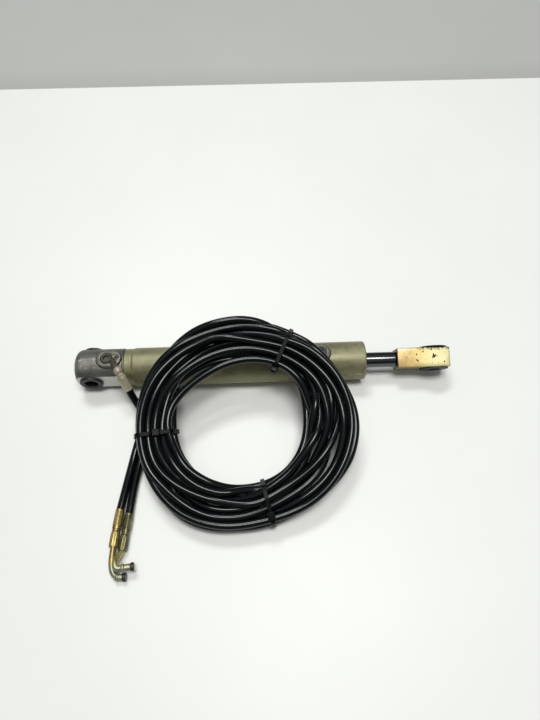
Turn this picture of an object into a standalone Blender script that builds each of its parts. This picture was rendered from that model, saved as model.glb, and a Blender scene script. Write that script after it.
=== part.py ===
"""Double-acting hydraulic cylinder with two flexible hoses.

Frame: +X runs along the cylinder axis towards the rod end, +Z is up, and the
cylinder lies on the plane z = 0.  The origin is at the middle of the
cylinder's footprint.  Driving dimensions are in millimetres.
"""
import math

import bmesh
import bpy
from mathutils import Matrix, Quaternion, Vector

# ------------------------------------------------------------ dimensions (mm)
MM = 0.001
GAP = 0.3                     # clearance between separate pieces

AXIS_Z = 12.5                 # height of the cylinder axis
TUBE_R = 12.5                 # cylinder tube, outside radius
BORE_R = 10.0                 # cylinder tube, bore radius
TUBE_X0 = -89.3               # tube end at the base cap
TUBE_X1 = 65.9                # tube end at the rod side
CAP_X0 = -121.4               # far end of the base cap
CAP_R = 12.4
EYE_X = -111.6                # centre of the cross eye in the cap
EYE_BORE_R = 5.5
FLAT_Y = 10.0                 # machined flats beside the eye
BUSH_FLANGE_R = 7.3
BUSH_FACE_Y = 11.6            # outer face of the eye bushes
PIN_R = 4.15                  # bore of the eye bushes

ROD_R = 5.0
ROD_X1 = 86.7                 # visible rod ends at the block
BLOCK_X0, BLOCK_X1 = 87.0, 121.4
BLOCK_H = 13.0                # square section of the rod-end block
BLOCK_EYE_X = 112.1
BLOCK_ROLL = 20.0             # rest roll of the rod about its own axis, degrees

PORT_BASE_X = -98.6           # centre of the base port flange
PORT_ROD_X = 35.2             # centre of the rod-side port flange
FLANGE_L, FLANGE_W = 15.8, 11.6

PISTON_X0, PISTON_X1 = -76.4, -62.4
GLAND_X0, GLAND_X1 = 34.0, 64.3
STROKE = 95.0

HOSE_R = 2.35                 # hose outside radius
COIL_C = (-12.0, -46.5)       # coil centre in plan
COIL_Z0 = 35.0                # height of the coil's middle plane above y = 0
COIL_SLOPE = 0.265            # the coil leans on the cylinder: dz / dy
COIL_RI, COIL_RO = 38.0, 68.5
COIL_T = 10.2                 # thickness of the coiled bundle

STEPS = 24

# ------------------------------------------------------------ start clean
for old in list(bpy.data.objects):
    bpy.data.objects.remove(old, do_unlink=True)

scene = bpy.context.scene
parts = bpy.data.collections.new("hydraulic_cylinder")
tools = bpy.data.collections.new("cutters")
scene.collection.children.link(parts)
scene.collection.children.link(tools)


# ------------------------------------------------------------ materials
def material(name, colour, rough, metal):
    m = bpy.data.materials.new(name)
    m.use_nodes = True
    b = m.node_tree.nodes["Principled BSDF"]
    b.inputs["Base Color"].default_value = (*colour, 1.0)
    b.inputs["Roughness"].default_value = rough
    b.inputs["Metallic"].default_value = metal
    return m


CHROMATE = material("olive_chromate", (0.30, 0.29, 0.19), 0.42, 0.75)
CASTING = material("grey_casting", (0.13, 0.13, 0.12), 0.5, 0.6)
CHROME = material("hard_chrome", (0.55, 0.56, 0.58), 0.12, 1.0)
GOLD = material("yellow_chromate", (0.78, 0.62, 0.30), 0.35, 0.8)
BRASS = material("brass_chromate", (0.55, 0.42, 0.16), 0.3, 0.9)
BEIGE = material("beige_plating", (0.42, 0.38, 0.29), 0.5, 0.6)
STEEL = material("bright_steel", (0.45, 0.45, 0.44), 0.3, 1.0)
RUBBER = material("seal_rubber", (0.012, 0.012, 0.012), 0.55, 0.0)
PTFE = material("filled_ptfe", (0.10, 0.16, 0.12), 0.45, 0.0)
BRONZE = material("bronze", (0.45, 0.28, 0.12), 0.35, 1.0)
PLASTIC = material("black_plastic", (0.02, 0.02, 0.022), 0.4, 0.0)
HOSE = material("black_hose", (0.008, 0.008, 0.010), 0.22, 0.0)


# ------------------------------------------------------------ helpers
def add(name, mesh, mat=None, tool=False):
    ob = bpy.data.objects.new(name, mesh)
    (tools if tool else parts).objects.link(ob)
    if tool:
        ob.hide_render = True
        ob.display_type = 'WIRE'
    if mat is not None:
        mesh.materials.clear()
        mesh.materials.append(mat)
    return ob


def finish_smooth(ob, angle=35.0):
    ob.data.shade_smooth()
    ob.data.set_sharp_from_angle(angle=math.radians(angle))
    return ob


def aim(ob, origin, direction):
    """Local +Z of ob points along direction, local origin sits at origin."""
    d = Vector(direction).normalized()
    if abs(d.x) > 0.9999:
        q = Quaternion((0, 1, 0), math.radians(90 if d.x > 0 else -90))
    else:
        q = d.to_track_quat('Z', 'Y')
    ob.rotation_euler = q.to_euler()
    ob.location = Vector(origin) * MM
    return ob


def turned(name, profile, mat=None, origin=(0, 0, AXIS_Z), direction=(1, 0, 0),
           steps=STEPS, tool=False):
    """A turned solid.  profile: (radius, height along the axis) points, closed
    on itself for a ring, or starting and ending on radius 0 for a solid."""
    solid = profile[0][0] == 0 and profile[-1][0] == 0
    area = 0.0
    n = len(profile)
    for i in range(n):
        (r0, h0), (r1, h1) = profile[i], profile[(i + 1) % n]
        area += r0 * h1 - r1 * h0
    pts = profile if area < 0 else profile[::-1]
    me = bpy.data.meshes.new(name)
    verts = [(r * MM, 0.0, h * MM) for r, h in pts]
    edges = [(i, i + 1) for i in range(n - 1)]
    if not solid:
        edges.append((n - 1, 0))
    me.from_pydata(verts, edges, [])
    ob = add(name, me, mat, tool)
    s = ob.modifiers.new("turn", 'SCREW')
    s.steps = s.render_steps = steps
    s.angle = 2 * math.pi
    s.axis = 'Z'
    s.use_merge_vertices = True
    s.merge_threshold = 0.000005
    s.use_smooth_shade = True
    aim(ob, origin, direction)
    return ob


def along(name, prof, mat=None, **kw):
    """Turned piece on the cylinder axis; heights are world X in millimetres."""
    return turned(name, prof, mat, origin=(0, 0, AXIS_Z), direction=(1, 0, 0), **kw)


def ring_section(name, big, small, x, mat, steps=STEPS, sides=6,
                 origin=(0, 0, AXIS_Z), direction=(1, 0, 0)):
    """An O-ring: a round section turned about the axis."""
    prof = [(big + small * math.cos(2 * math.pi * k / sides),
             x + small * math.sin(2 * math.pi * k / sides)) for k in range(sides)]
    return turned(name, prof, mat, origin=origin, direction=direction, steps=steps)


def cylinder(name, radius, length, centre, direction, mat=None, sides=32, tool=False):
    bm = bmesh.new()
    bmesh.ops.create_cone(bm, cap_ends=True, segments=sides, radius1=radius * MM,
                          radius2=radius * MM, depth=length * MM)
    me = bpy.data.meshes.new(name)
    bm.to_mesh(me)
    bm.free()
    return aim(add(name, me, mat, tool), centre, direction)


def box(name, size, centre, mat=None, rot=None, tool=False):
    bm = bmesh.new()
    bmesh.ops.create_cube(bm, size=1.0)
    bmesh.ops.scale(bm, vec=Vector(size) * MM, verts=bm.verts)
    me = bpy.data.meshes.new(name)
    bm.to_mesh(me)
    bm.free()
    ob = add(name, me, mat, tool)
    ob.location = Vector(centre) * MM
    if rot is not None:
        ob.rotation_euler = rot
    return ob


def boolean(ob, other, op='DIFFERENCE'):
    m = ob.modifiers.new(op.lower(), 'BOOLEAN')
    m.operation = op
    m.object = other
    return ob


def curve_points(pts, count):
    """Evenly spaced points of a smooth Catmull-Rom curve through pts."""
    p = [Vector(q) for q in pts]
    p = [p[0] * 2 - p[1]] + p + [p[-1] * 2 - p[-2]]
    dense = []
    for i in range(1, len(p) - 2):
        a, b, c, d = p[i - 1], p[i], p[i + 1], p[i + 2]
        for k in range(24):
            t = k / 24
            dense.append(0.5 * ((2 * b) + (c - a) * t + (2 * a - 5 * b + 4 * c - d) * t * t
                                + (3 * b - a - 3 * c + d) * t ** 3))
    dense.append(p[-2])
    run = [0.0]
    for i in range(1, len(dense)):
        run.append(run[-1] + (dense[i] - dense[i - 1]).length)
    out = []
    j = 0
    for k in range(count):
        s = run[-1] * k / (count - 1)
        while j < len(run) - 2 and run[j + 1] < s:
            j += 1
        f = (s - run[j]) / max(run[j + 1] - run[j], 1e-9)
        out.append(dense[j].lerp(dense[j + 1], min(max(f, 0), 1)))
    return out


def tube(name, pts, radius, mat=None, count=12, res=2, as_mesh=False, tool=False):
    cu = bpy.data.curves.new(name, 'CURVE')
    cu.dimensions = '3D'
    cu.bevel_depth = radius * MM
    cu.bevel_resolution = res
    cu.use_fill_caps = True
    sp = cu.splines.new('POLY')
    q = curve_points(pts, count)
    sp.points.add(len(q) - 1)
    for i, v in enumerate(q):
        sp.points[i].co = (v.x * MM, v.y * MM, v.z * MM, 1.0)
    ob = bpy.data.objects.new(name, cu)
    (tools if tool else parts).objects.link(ob)
    if mat is not None:
        cu.materials.append(mat)
    if as_mesh:
        bpy.context.view_layer.update()
        dg = bpy.context.evaluated_depsgraph_get()
        me = bpy.data.meshes.new_from_object(ob.evaluated_get(dg))
        mw = ob.matrix_world.copy()
        bpy.data.objects.remove(ob, do_unlink=True)
        bm = bmesh.new()
        bm.from_mesh(me)
        bmesh.ops.remove_doubles(bm, verts=bm.verts, dist=0.000002)
        bm.to_mesh(me)
        bm.free()
        ob = add(name, me, mat, tool)
        ob.matrix_world = mw
    return ob


def stadium(name, length, width, z0, z1, centre, mat=None, tool=False, sides=10):
    """A flat plate with round ends, long axis along X, between heights z0, z1."""
    cu = bpy.data.curves.new(name, 'CURVE')
    cu.dimensions = '2D'
    cu.fill_mode = 'BOTH'
    cu.extrude = (z1 - z0) / 2 * MM
    sp = cu.splines.new('POLY')
    r = width / 2
    h = length / 2 - r
    pts = []
    for k in range(sides + 1):
        a = -math.pi / 2 + math.pi * k / sides
        pts.append((h + r * math.cos(a), r * math.sin(a)))
    for k in range(sides + 1):
        a = math.pi / 2 + math.pi * k / sides
        pts.append((-h + r * math.cos(a), r * math.sin(a)))
    sp.points.add(len(pts) - 1)
    for i, (x, y) in enumerate(pts):
        sp.points[i].co = (x * MM, y * MM, 0, 1)
    sp.use_cyclic_u = True
    ob = bpy.data.objects.new(name, cu)
    parts.objects.link(ob)
    bpy.context.view_layer.update()
    dg = bpy.context.evaluated_depsgraph_get()
    me = bpy.data.meshes.new_from_object(ob.evaluated_get(dg))
    bpy.data.objects.remove(ob, do_unlink=True)
    bm = bmesh.new()
    bm.from_mesh(me)
    bmesh.ops.remove_doubles(bm, verts=bm.verts, dist=0.000002)
    bm.to_mesh(me)
    bm.free()
    ob = add(name, me, mat, tool)
    ob.location = (centre[0] * MM, centre[1] * MM, (z0 + z1) / 2 * MM)
    return ob


def hex_prism(name, across_flats, length, centre, direction, mat=None, tool=False):
    return cylinder(name, across_flats / math.sqrt(3), length, centre, direction, mat,
                    sides=6, tool=tool)


# ------------------------------------------------------------ cylinder tube
LIP_R = 8.4
along("cylinder_tube", [
    (TUBE_R - 0.5, TUBE_X0), (TUBE_R - 0.5, TUBE_X0 + 5.0), (TUBE_R, TUBE_X0 + 5.8),
    (TUBE_R, TUBE_X1 - 1.2), (TUBE_R - 0.35, TUBE_X1 - 0.35), (TUBE_R - 1.2, TUBE_X1),
    (LIP_R, TUBE_X1), (LIP_R, TUBE_X1 - 1.2), (BORE_R, TUBE_X1 - 1.2),
    (BORE_R, TUBE_X1 - 3.8), (BORE_R + 0.6, TUBE_X1 - 3.8),
    (BORE_R + 0.6, TUBE_X1 - 6.0), (BORE_R, TUBE_X1 - 6.0), (BORE_R, TUBE_X0),
], CHROMATE, steps=36)
tube_ob = bpy.data.objects["cylinder_tube"]
SPOT_ROD_Z = 23.2
boolean(tube_ob, stadium("cut_rod_spotface", FLANGE_L + 0.7, FLANGE_W + 0.7, SPOT_ROD_Z, 30.0,
                         (PORT_ROD_X, 0), tool=True))
boolean(tube_ob, cylinder("cut_rod_port", 1.6, 6.0, (PORT_ROD_X - 3.4, 0, 23.0), (0, 0, 1),
                          sides=16, tool=True))
# stake mark that locks the gland
boolean(tube_ob, box("cut_stake", (4.4, 3.6, 1.4), (61.6, -11.55, 17.9), rot=(math.radians(66), 0, 0),
                     tool=True))
# small pressed mark next to the base cap
boolean(tube_ob, box("cut_mark", (2.8, 7.0, 1.0), (-87.2, -1.5, 25.0 - 0.5 + 0.22),
                     rot=(math.radians(7), 0, 0), tool=True))

# ------------------------------------------------------------ base cap
SPIGOT_R = BORE_R - GAP
r_end = 5.0
cap_prof = [(0, CAP_X0), (CAP_R - r_end, CAP_X0)]
for k in range(1, 6):
    a = math.pi / 2 * k / 6
    cap_prof.append((CAP_R - r_end + r_end * math.sin(a), CAP_X0 + r_end - r_end * math.cos(a)))
cap_prof += [
    (CAP_R, CAP_X0 + r_end), (CAP_R, TUBE_X0 - GAP), (SPIGOT_R, TUBE_X0 - GAP),
    (SPIGOT_R, -84.6), (8.2, -84.6), (8.2, -82.2), (SPIGOT_R, -82.2),
    (SPIGOT_R, -77.7), (SPIGOT_R - 0.6, -77.1), (6.5, -77.1), (6.5, -83.4),
    (2.4, -83.4), (2.4, -101.2), (0, -101.2),
]
cap = along("base_cap", cap_prof, CASTING, steps=36)
for s in (-1, 1):
    boolean(cap, box("cut_flat_%d" % s, (27.0, 10.0, 40.0), (CAP_X0 + 13.5 - 1.0, s * (FLAT_Y + 5.0), AXIS_Z),
                     tool=True))
boolean(cap, cylinder("cut_eye", EYE_BORE_R, 40.0, (EYE_X, 0, AXIS_Z), (0, 1, 0), sides=32, tool=True))
SPOT_BASE_Z = 22.7
boolean(cap, stadium("cut_base_spotface", FLANGE_L + 0.7, FLANGE_W + 0.7, SPOT_BASE_Z, 30.0,
                     (PORT_BASE_X, 0), tool=True))
boolean(cap, cylinder("cut_base_port", 1.6, 10.0, (PORT_BASE_X + 3.4, 0, 18.5), (0, 0, 1),
                      sides=16, tool=True))
boolean(cap, cylinder("cut_base_thread", 2.3, 7.3, (PORT_BASE_X - 1.4, 0, 19.55), (0, 0, 1),
                      sides=20, tool=True))
ring_section("cap_oring", 9.1, 0.6, -83.4, RUBBER)

# ------------------------------------------------------------ eye bushes
for nm, s in (("eye_bush_front", -1), ("eye_bush_rear", 1)):
    turned(nm, [
        (PIN_R, 2.0), (EYE_BORE_R - GAP, 2.0), (EYE_BORE_R - GAP, FLAT_Y + GAP),
        (BUSH_FLANGE_R, FLAT_Y + GAP), (BUSH_FLANGE_R, BUSH_FACE_Y - 0.3),
        (BUSH_FLANGE_R - 0.3, BUSH_FACE_Y), (PIN_R, BUSH_FACE_Y),
    ], PLASTIC, origin=(EYE_X, 0, AXIS_Z), direction=(0, s, 0), steps=28)


# ------------------------------------------------------------ port fittings
def port_fitting(tag, cx, spot_z, neck, ferrule_a, ferrule_b, shank, side=1):
    z0 = spot_z + GAP
    z1 = z0 + 2.9
    plate = stadium(tag + "_port_flange", FLANGE_L, FLANGE_W, z0, z1, (cx, 0), CASTING)
    sx = cx - 1.4 * side
    px = cx + 3.4 * side
    boolean(plate, cylinder(tag + "_cut_cbore", 3.9, 3.0, (sx, 0, z0 + 1.2 + 1.5), (0, 0, 1),
                            sides=28, tool=True))
    boolean(plate, cylinder(tag + "_cut_screw", 2.6, 8.0, (sx, 0, z0), (0, 0, 1), sides=24, tool=True))
    boolean(plate, tube(tag + "_neck", neck, 1.85, count=12, res=2, as_mesh=True, tool=True), 'UNION')
    # groove below for the port seal, and the drilled way into the neck
    boolean(plate, cylinder(tag + "_cut_way", 0.9, 2.6, (px, 0, z0 + 0.2), (0, 0, 1), sides=12, tool=True))
    # hollow-socket screw
    head_z = z0 + 1.2 + GAP
    scr = turned(tag + "_port_screw", [
        (0, head_z - shank), (1.7, head_z - shank), (2.0, head_z - shank + 0.3), (2.0, head_z),
        (3.6, head_z), (3.6, head_z + 1.5), (3.3, head_z + 1.8), (0, head_z + 1.8)],
        STEEL, origin=(sx, 0, 0), direction=(0, 0, 1), steps=24)
    boolean(scr, hex_prism(tag + "_cut_hex", 4.0, 3.0, (sx, 0, head_z + 1.8), (0, 0, 1), tool=True))
    # crimped ferrule on the hose end
    a, b = Vector(ferrule_a), Vector(ferrule_b)
    ln = (b - a).length
    turned(tag + "_ferrule", [
        (HOSE_R + GAP - 0.9, 0), (2.5, 0), (3.0, 0.7), (3.15, 2.6), (2.75, 3.6), (2.75, 5.0),
        (3.15, 6.0), (3.15, ln - 0.5), (2.9, ln), (HOSE_R + GAP, ln), (HOSE_R + GAP, 2.0),
        (HOSE_R + GAP - 0.9, 2.0)], BEIGE, origin=a, direction=b - a, steps=16)


# The base neck sweeps over the cap's shoulder to the front; the rod-side one turns to the
# back and towards the base, the way the hoses are wound.
BASE_FER_A, BASE_FER_B = (-90.1, -11.7, 24.7), (-86.5, -17.8, 15.9)
port_fitting("base", PORT_BASE_X, SPOT_BASE_Z,
             [(-95.6, -2.6, 25.0), (-94.4, -5.0, 25.6), (-92.9, -7.4, 26.3), (-91.3, -9.7, 26.2),
              (-90.3, -11.3, 25.1)], BASE_FER_A, BASE_FER_B, shank=7.0)
ROD_FER_A, ROD_FER_B = (22.6, 10.3, 25.0), (12.4, 14.0, 23.0)
port_fitting("rod", PORT_ROD_X, SPOT_ROD_Z,
             [(31.9, 1.8, 25.4), (30.9, 4.4, 25.65), (28.8, 7.0, 25.85), (26.0, 8.9, 25.6),
              (23.0, 10.15, 25.1)], ROD_FER_A, ROD_FER_B, shank=1.3, side=-1)

# ------------------------------------------------------------ gland and rod seals
G0, G1 = GLAND_X0, GLAND_X1
along("rod_gland", [
    (ROD_R + 0.3, G0), (7.4, G0), (7.6, G0 + 0.4), (7.6, G0 + 9.2), (SPIGOT_R, G0 + 9.8),
    (SPIGOT_R, 47.0), (8.2, 47.0), (8.2, 49.4), (SPIGOT_R, 49.4),
    (SPIGOT_R, 59.8), (8.7, 59.8), (8.7, 62.3), (SPIGOT_R, 62.3), (SPIGOT_R, G1),
    (7.6, G1), (7.6, G1 - 3.6), (ROD_R + 0.3, G1 - 3.6),
    (ROD_R + 0.3, 56.2), (7.7, 56.2), (7.7, 51.6), (ROD_R + 0.3, 51.6),
    (ROD_R + 0.3, 43.0), (6.6, 43.0), (6.6, 36.4), (ROD_R + 0.3, 36.4),
], STEEL, steps=24)
along("gland_guide_bush", [(5.25, 36.7), (6.3, 36.7), (6.3, 42.7), (5.25, 42.7)], BRONZE, steps=24)
ring_section("gland_oring", 9.1, 0.6, 48.2, RUBBER)
along("rod_seal", [(5.25, 51.9), (7.4, 51.9), (7.4, 55.9), (6.6, 55.9), (6.3, 54.2),
                   (6.0, 55.9), (5.25, 55.9)], RUBBER, steps=24)
along("rod_wiper", [(5.3, 61.0), (7.3, 61.0), (7.3, 64.9), (6.6, 66.4), (5.6, 67.0), (5.25, 67.0)],
      RUBBER, steps=24)
along("gland_retaining_ring", [(9.0, 60.2), (10.3, 60.2), (10.3, 61.8), (9.0, 61.8)], STEEL, steps=24)
ring_cut = bpy.data.objects["gland_retaining_ring"]
boolean(ring_cut, box("cut_ring_gap", (4.0, 4.0, 3.0), (61.0, 9.6, AXIS_Z), tool=True))

# ------------------------------------------------------------ piston and its rings
P0, P1 = PISTON_X0, PISTON_X1
along("piston", [
    (3.3, P0), (8.9, P0), (9.5, P0 + 0.6), (9.5, P0 + 4.0), (6.9, P0 + 4.0), (6.9, P0 + 8.0),
    (9.5, P0 + 8.0), (9.5, P0 + 9.6), (8.7, P0 + 9.6), (8.7, P0 + 12.4), (9.5, P0 + 12.4),
    (9.5, P1 - 0.6), (8.9, P1), (3.3, P1)], STEEL, steps=28)
along("piston_seal", [(9.0, P0 + 4.3), (9.6, P0 + 4.3), (9.75, P0 + 4.6), (9.75, P0 + 7.4),
                      (9.6, P0 + 7.7), (9.0, P0 + 7.7)], PTFE, steps=28)
ring_section("piston_energiser", 7.95, 0.75, P0 + 6.0, RUBBER)
along("piston_guide_ring", [(9.0, P0 + 9.9), (9.72, P0 + 9.9), (9.72, P0 + 12.1), (9.0, P0 + 12.1)],
      PTFE, steps=28)
nut = hex_prism("piston_nut", 10.0, 4.0, (P0 - GAP - 2.0, 0, AXIS_Z), (1, 0, 0), STEEL)
boolean(nut, cylinder("cut_nut", 3.3, 8.0, (P0 - 2.3, 0, AXIS_Z), (1, 0, 0), sides=24, tool=True))

# ------------------------------------------------------------ piston rod
along("piston_rod", [
    (0, P0 - 5.6), (2.6, P0 - 5.6), (3.0, P0 - 5.2), (3.0, P1 + GAP), (4.7, P1 + GAP),
    (ROD_R, P1 + GAP + 0.3), (ROD_R, ROD_X1 - 0.4), (ROD_R - 0.4, ROD_X1),
    (4.0, ROD_X1), (4.0, 97.6), (3.6, 98.0), (0, 98.0)], CHROME, steps=28)

# ------------------------------------------------------------ rod-end block
roll = math.radians(BLOCK_ROLL)
Y_LOC = Vector((0, math.cos(roll), math.sin(roll)))       # the block's own cross axis
blk = box("rod_end_block", (BLOCK_X1 - BLOCK_X0, BLOCK_H, BLOCK_H),
          ((BLOCK_X0 + BLOCK_X1) / 2, 0, AXIS_Z), GOLD, rot=(roll, 0, 0))
bv = blk.modifiers.new("edge", 'BEVEL')
bv.width = 0.45 * MM
bv.segments = 2
boolean(blk, cylinder("cut_block_eye", 5.0, 30.0, (BLOCK_EYE_X, 0, AXIS_Z), Y_LOC, sides=32, tool=True))
boolean(blk, cylinder("cut_block_thread", 4.3, 14.0, (BLOCK_X0 + 5.0, 0, AXIS_Z), (1, 0, 0),
                      sides=28, tool=True))
for nm, s in (("block_bush_front", -1), ("block_bush_rear", 1)):
    turned(nm, [(4.0, 1.2), (4.7, 1.2), (4.7, 6.5 + GAP), (9.3, 6.5 + GAP), (9.3, 7.6), (9.0, 7.9),
                (4.0, 7.9)], PLASTIC, origin=(BLOCK_EYE_X, 0, AXIS_Z), direction=Y_LOC * s, steps=28)

# ------------------------------------------------------------ coil of the two hoses
tilt = math.atan(COIL_SLOPE)
coil_z = COIL_Z0 + COIL_SLOPE * COIL_C[1]
COIL_N = Vector((0, -math.sin(tilt), math.cos(tilt)))     # normal of the coil's plane
COIL_V = Vector((0, math.cos(tilt), math.sin(tilt)))      # uphill direction in that plane
COIL_O = Vector((COIL_C[0], COIL_C[1], coil_z))
c, t = 2.6, COIL_T / 2
coil = turned("hose_coil", [
    (COIL_RI + c, t), (COIL_RI, t - c), (COIL_RI, -t + c), (COIL_RI + c, -t),
    (COIL_RO - c, -t), (COIL_RO, -t + c), (COIL_RO, t - c), (COIL_RO - c, t)],
    HOSE, origin=COIL_O, direction=(0, 0, 1), steps=40)
coil.rotation_euler = (tilt, 0, 0)


def tie(name, angle):
    """A cable tie around the bundle at this angle of the coil (degrees)."""
    a = math.radians(angle)
    radial = Vector((1, 0, 0)) * math.cos(a) + COIL_V * math.sin(a)
    tangent = COIL_N.cross(radial)
    mid = COIL_O + radial * (COIL_RI + COIL_RO) / 2
    w = (COIL_RO - COIL_RI) / 2 + GAP
    h = t + GAP
    th = 1.1

    def outline(extra):
        pts = []
        x, y, k = w + extra, h + extra, 2.7 + extra * 0.5
        for sx, sy, first in ((1, 1, True), (-1, 1, False), (-1, -1, True), (1, -1, False)):
            p = [(sx * x, sy * (y - k)), (sx * (x - k * 0.3), sy * (y - k * 0.3)), (sx * (x - k), sy * y)]
            pts += p if first else p[::-1]
        return pts

    cu = bpy.data.curves.new(name, 'CURVE')
    cu.dimensions = '2D'
    cu.fill_mode = 'BOTH'
    cu.extrude = 1.25 * MM
    for extra in (th, 0.0):
        pts = outline(extra)
        sp = cu.splines.new('POLY')
        sp.points.add(len(pts) - 1)
        for i, (x, y) in enumerate(pts):
            sp.points[i].co = (x * MM, y * MM, 0, 1)
        sp.use_cyclic_u = True
    ob = bpy.data.objects.new(name + "_curve", cu)
    parts.objects.link(ob)
    bpy.context.view_layer.update()
    dg = bpy.context.evaluated_depsgraph_get()
    me = bpy.data.meshes.new_from_object(ob.evaluated_get(dg))
    bpy.data.objects.remove(ob, do_unlink=True)
    bm = bmesh.new()
    bm.from_mesh(me)
    bmesh.ops.remove_doubles(bm, verts=bm.verts, dist=0.000002)
    bm.to_mesh(me)
    bm.free()
    ob = add(name, me, PLASTIC)
    # outline x -> radial, outline y -> coil normal, extrusion -> tangent
    m = Matrix.Identity(4)
    zdir = radial.cross(COIL_N)
    for i in range(3):
        m[i][0], m[i][1], m[i][2], m[i][3] = radial[i], COIL_N[i], zdir[i], mid[i] * MM
    ob.matrix_world = m
    # ratchet head on the upper side of the band
    head_c = mid + radial * (w - 6.0) * (1 if name.endswith("left") or name.endswith("bottom") else -1) \
        + COIL_N * (h + 1.55)
    head = box(name + "_head", (4.6, 2.6, 4.0), (0, 0, 0), tool=True)
    mh = m.copy()
    for i in range(3):
        mh[i][3] = head_c[i] * MM
    mh2 = mh
    head.matrix_world = mh2
    boolean(ob, head, 'UNION')
    return ob


tie("cable_tie_left", 183.5)
tie("cable_tie_top", 62.0)
tie("cable_tie_bottom", -71.5)


# ------------------------------------------------------------ hose leads and tails
def beyond(a, b, d):
    a, b = Vector(a), Vector(b)
    return b + (b - a).normalized() * d


tube("hose_a_lead", [
    beyond(BASE_FER_A, BASE_FER_B, -8.0), beyond(BASE_FER_A, BASE_FER_B, -3.5),
    beyond(BASE_FER_A, BASE_FER_B, 1.5), (-83.6, -23.2, 9.6), (-80.6, -29.5, 8.4),
    (-76.6, -35.0, 11.2), (-73.4, -39.4, 15.2)],
    HOSE_R, HOSE, count=10, res=2)
tube("hose_b_lead", [
    beyond(ROD_FER_A, ROD_FER_B, -8.0), beyond(ROD_FER_A, ROD_FER_B, -3.5),
    beyond(ROD_FER_A, ROD_FER_B, 1.5), (4.4, 15.9, 22.4), (-3.4, 16.6, 23.6),
    (-11.0, 16.0, 26.2), (-18.0, 14.2, 29.2)],
    HOSE_R, HOSE, count=12, res=2)

# crimped ends: the hose runs into the ferrule
END = {
    # ferrule start, ferrule end, socket end, then the pipe's points
    "a": [(-87.6, -90.0, 3.8), (-89.0, -102.6, 3.8), (-89.7, -111.6, 3.8),
          [(-89.72, -112.0, 3.8), (-89.9, -116.5, 3.75), (-89.75, -121.0, 3.7), (-88.6, -124.9, 3.7),
           (-86.2, -126.7, 3.8), (-81.4, -127.0, 4.0)]],
    "b": [(-82.3, -92.4, 2.85), (-83.6, -104.6, 2.85), (-84.6, -113.6, 2.85),
          [(-84.65, -114.0, 2.85), (-85.2, -117.2, 3.0), (-85.3, -119.6, 3.3), (-84.4, -121.5, 3.7),
           (-82.4, -122.2, 4.1), (-76.0, -122.3, 4.6)]],
}
END_TOP = {"a": [(-86.6, -80.0, 3.9), (-84.9, -68.0, 4.0), (-81.6, -58.2, 5.6), (-77.6, -51.6, 9.4),
                 (-75.4, -48.6, 12.2)],
           "b": [(-81.2, -82.0, 2.7), (-79.8, -71.5, 2.7), (-76.6, -62.0, 3.4), (-71.8, -55.6, 6.4),
                 (-68.6, -52.6, 9.6)]}
for tag in "ab":
    f0, f1, s1, pipe = END[tag]
    v0, v1, v2 = Vector(f0), Vector(f1), Vector(s1)
    d = v1 - v0
    ln = d.length
    turned("hose_%s_end_ferrule" % tag, [
        (1.5, ln), (2.2, ln), (2.3, ln - 1.4), (2.1, ln - 1.9), (2.52, ln - 3.0), (2.6, 1.0), (2.66, 0),
        (2.66, 0.0), (HOSE_R - 0.15, 0.0), (HOSE_R - 0.15, ln - 2.2), (1.5, ln - 2.2)][:7] + [
        (HOSE_R - 0.15, 0.0), (HOSE_R - 0.15, ln - 2.2), (1.5, ln - 2.2)],
        BRASS, origin=v0, direction=d, steps=16)
    e = v2 - v1
    el = e.length
    turned("hose_%s_end_socket" % tag, [
        (0, GAP), (2.05, GAP), (2.05, 1.0), (2.5, 1.3), (2.6, 1.7), (2.6, el - 0.9),
        (2.3, el - GAP), (0, el - GAP)], BRASS, origin=v1, direction=e, steps=16)
    spig = tube("hose_%s_end_spigot" % tag, pipe, 1.75, BRASS, count=14, res=2, as_mesh=True)
    q0, q1 = Vector(pipe[-2]), Vector(pipe[-1])
    u = (q1 - q0).normalized()
    boolean(spig, turned("bead_%s" % tag, [(0, -0.7), (2.15, -0.7), (2.35, -0.4), (2.35, 0.4), (2.15, 0.7), (0, 0.7)],
                         origin=q1 - u * 5.0 if tag == "b" else q1 - u * 3.4, direction=u, steps=12, tool=True), 'UNION')
    boolean(spig, cylinder("bore_%s" % tag, 0.9, 6.0, q1, u, sides=12, tool=True))
    ring_section("hose_%s_end_oring" % tag, 2.55, 0.45, 0.0, RUBBER, steps=16, sides=6,
                 origin=q1 - u * 1.6, direction=u)
    # the hose itself: from inside the ferrule back to the coil
    inner = v0 + d.normalized() * 0.0
    back = v0 - d.normalized() * 0.3
    tube("hose_%s_tail" % tag, [back, back - d.normalized() * 4.0] + END_TOP[tag], HOSE_R, HOSE,
         count=14, res=2)

for ob in parts.objects:
    if ob.type == 'MESH':
        finish_smooth(ob)
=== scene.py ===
"""Double-acting hydraulic cylinder with two coiled hoses: the finished look.

Frame: metres, +X towards the rod end, +Z up, the cylinder lies on z = 0.
Dimensions in the tables below are millimetres.
"""
import math

import bmesh
import bpy
import numpy as np
from mathutils import Matrix, Quaternion, Vector


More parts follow.
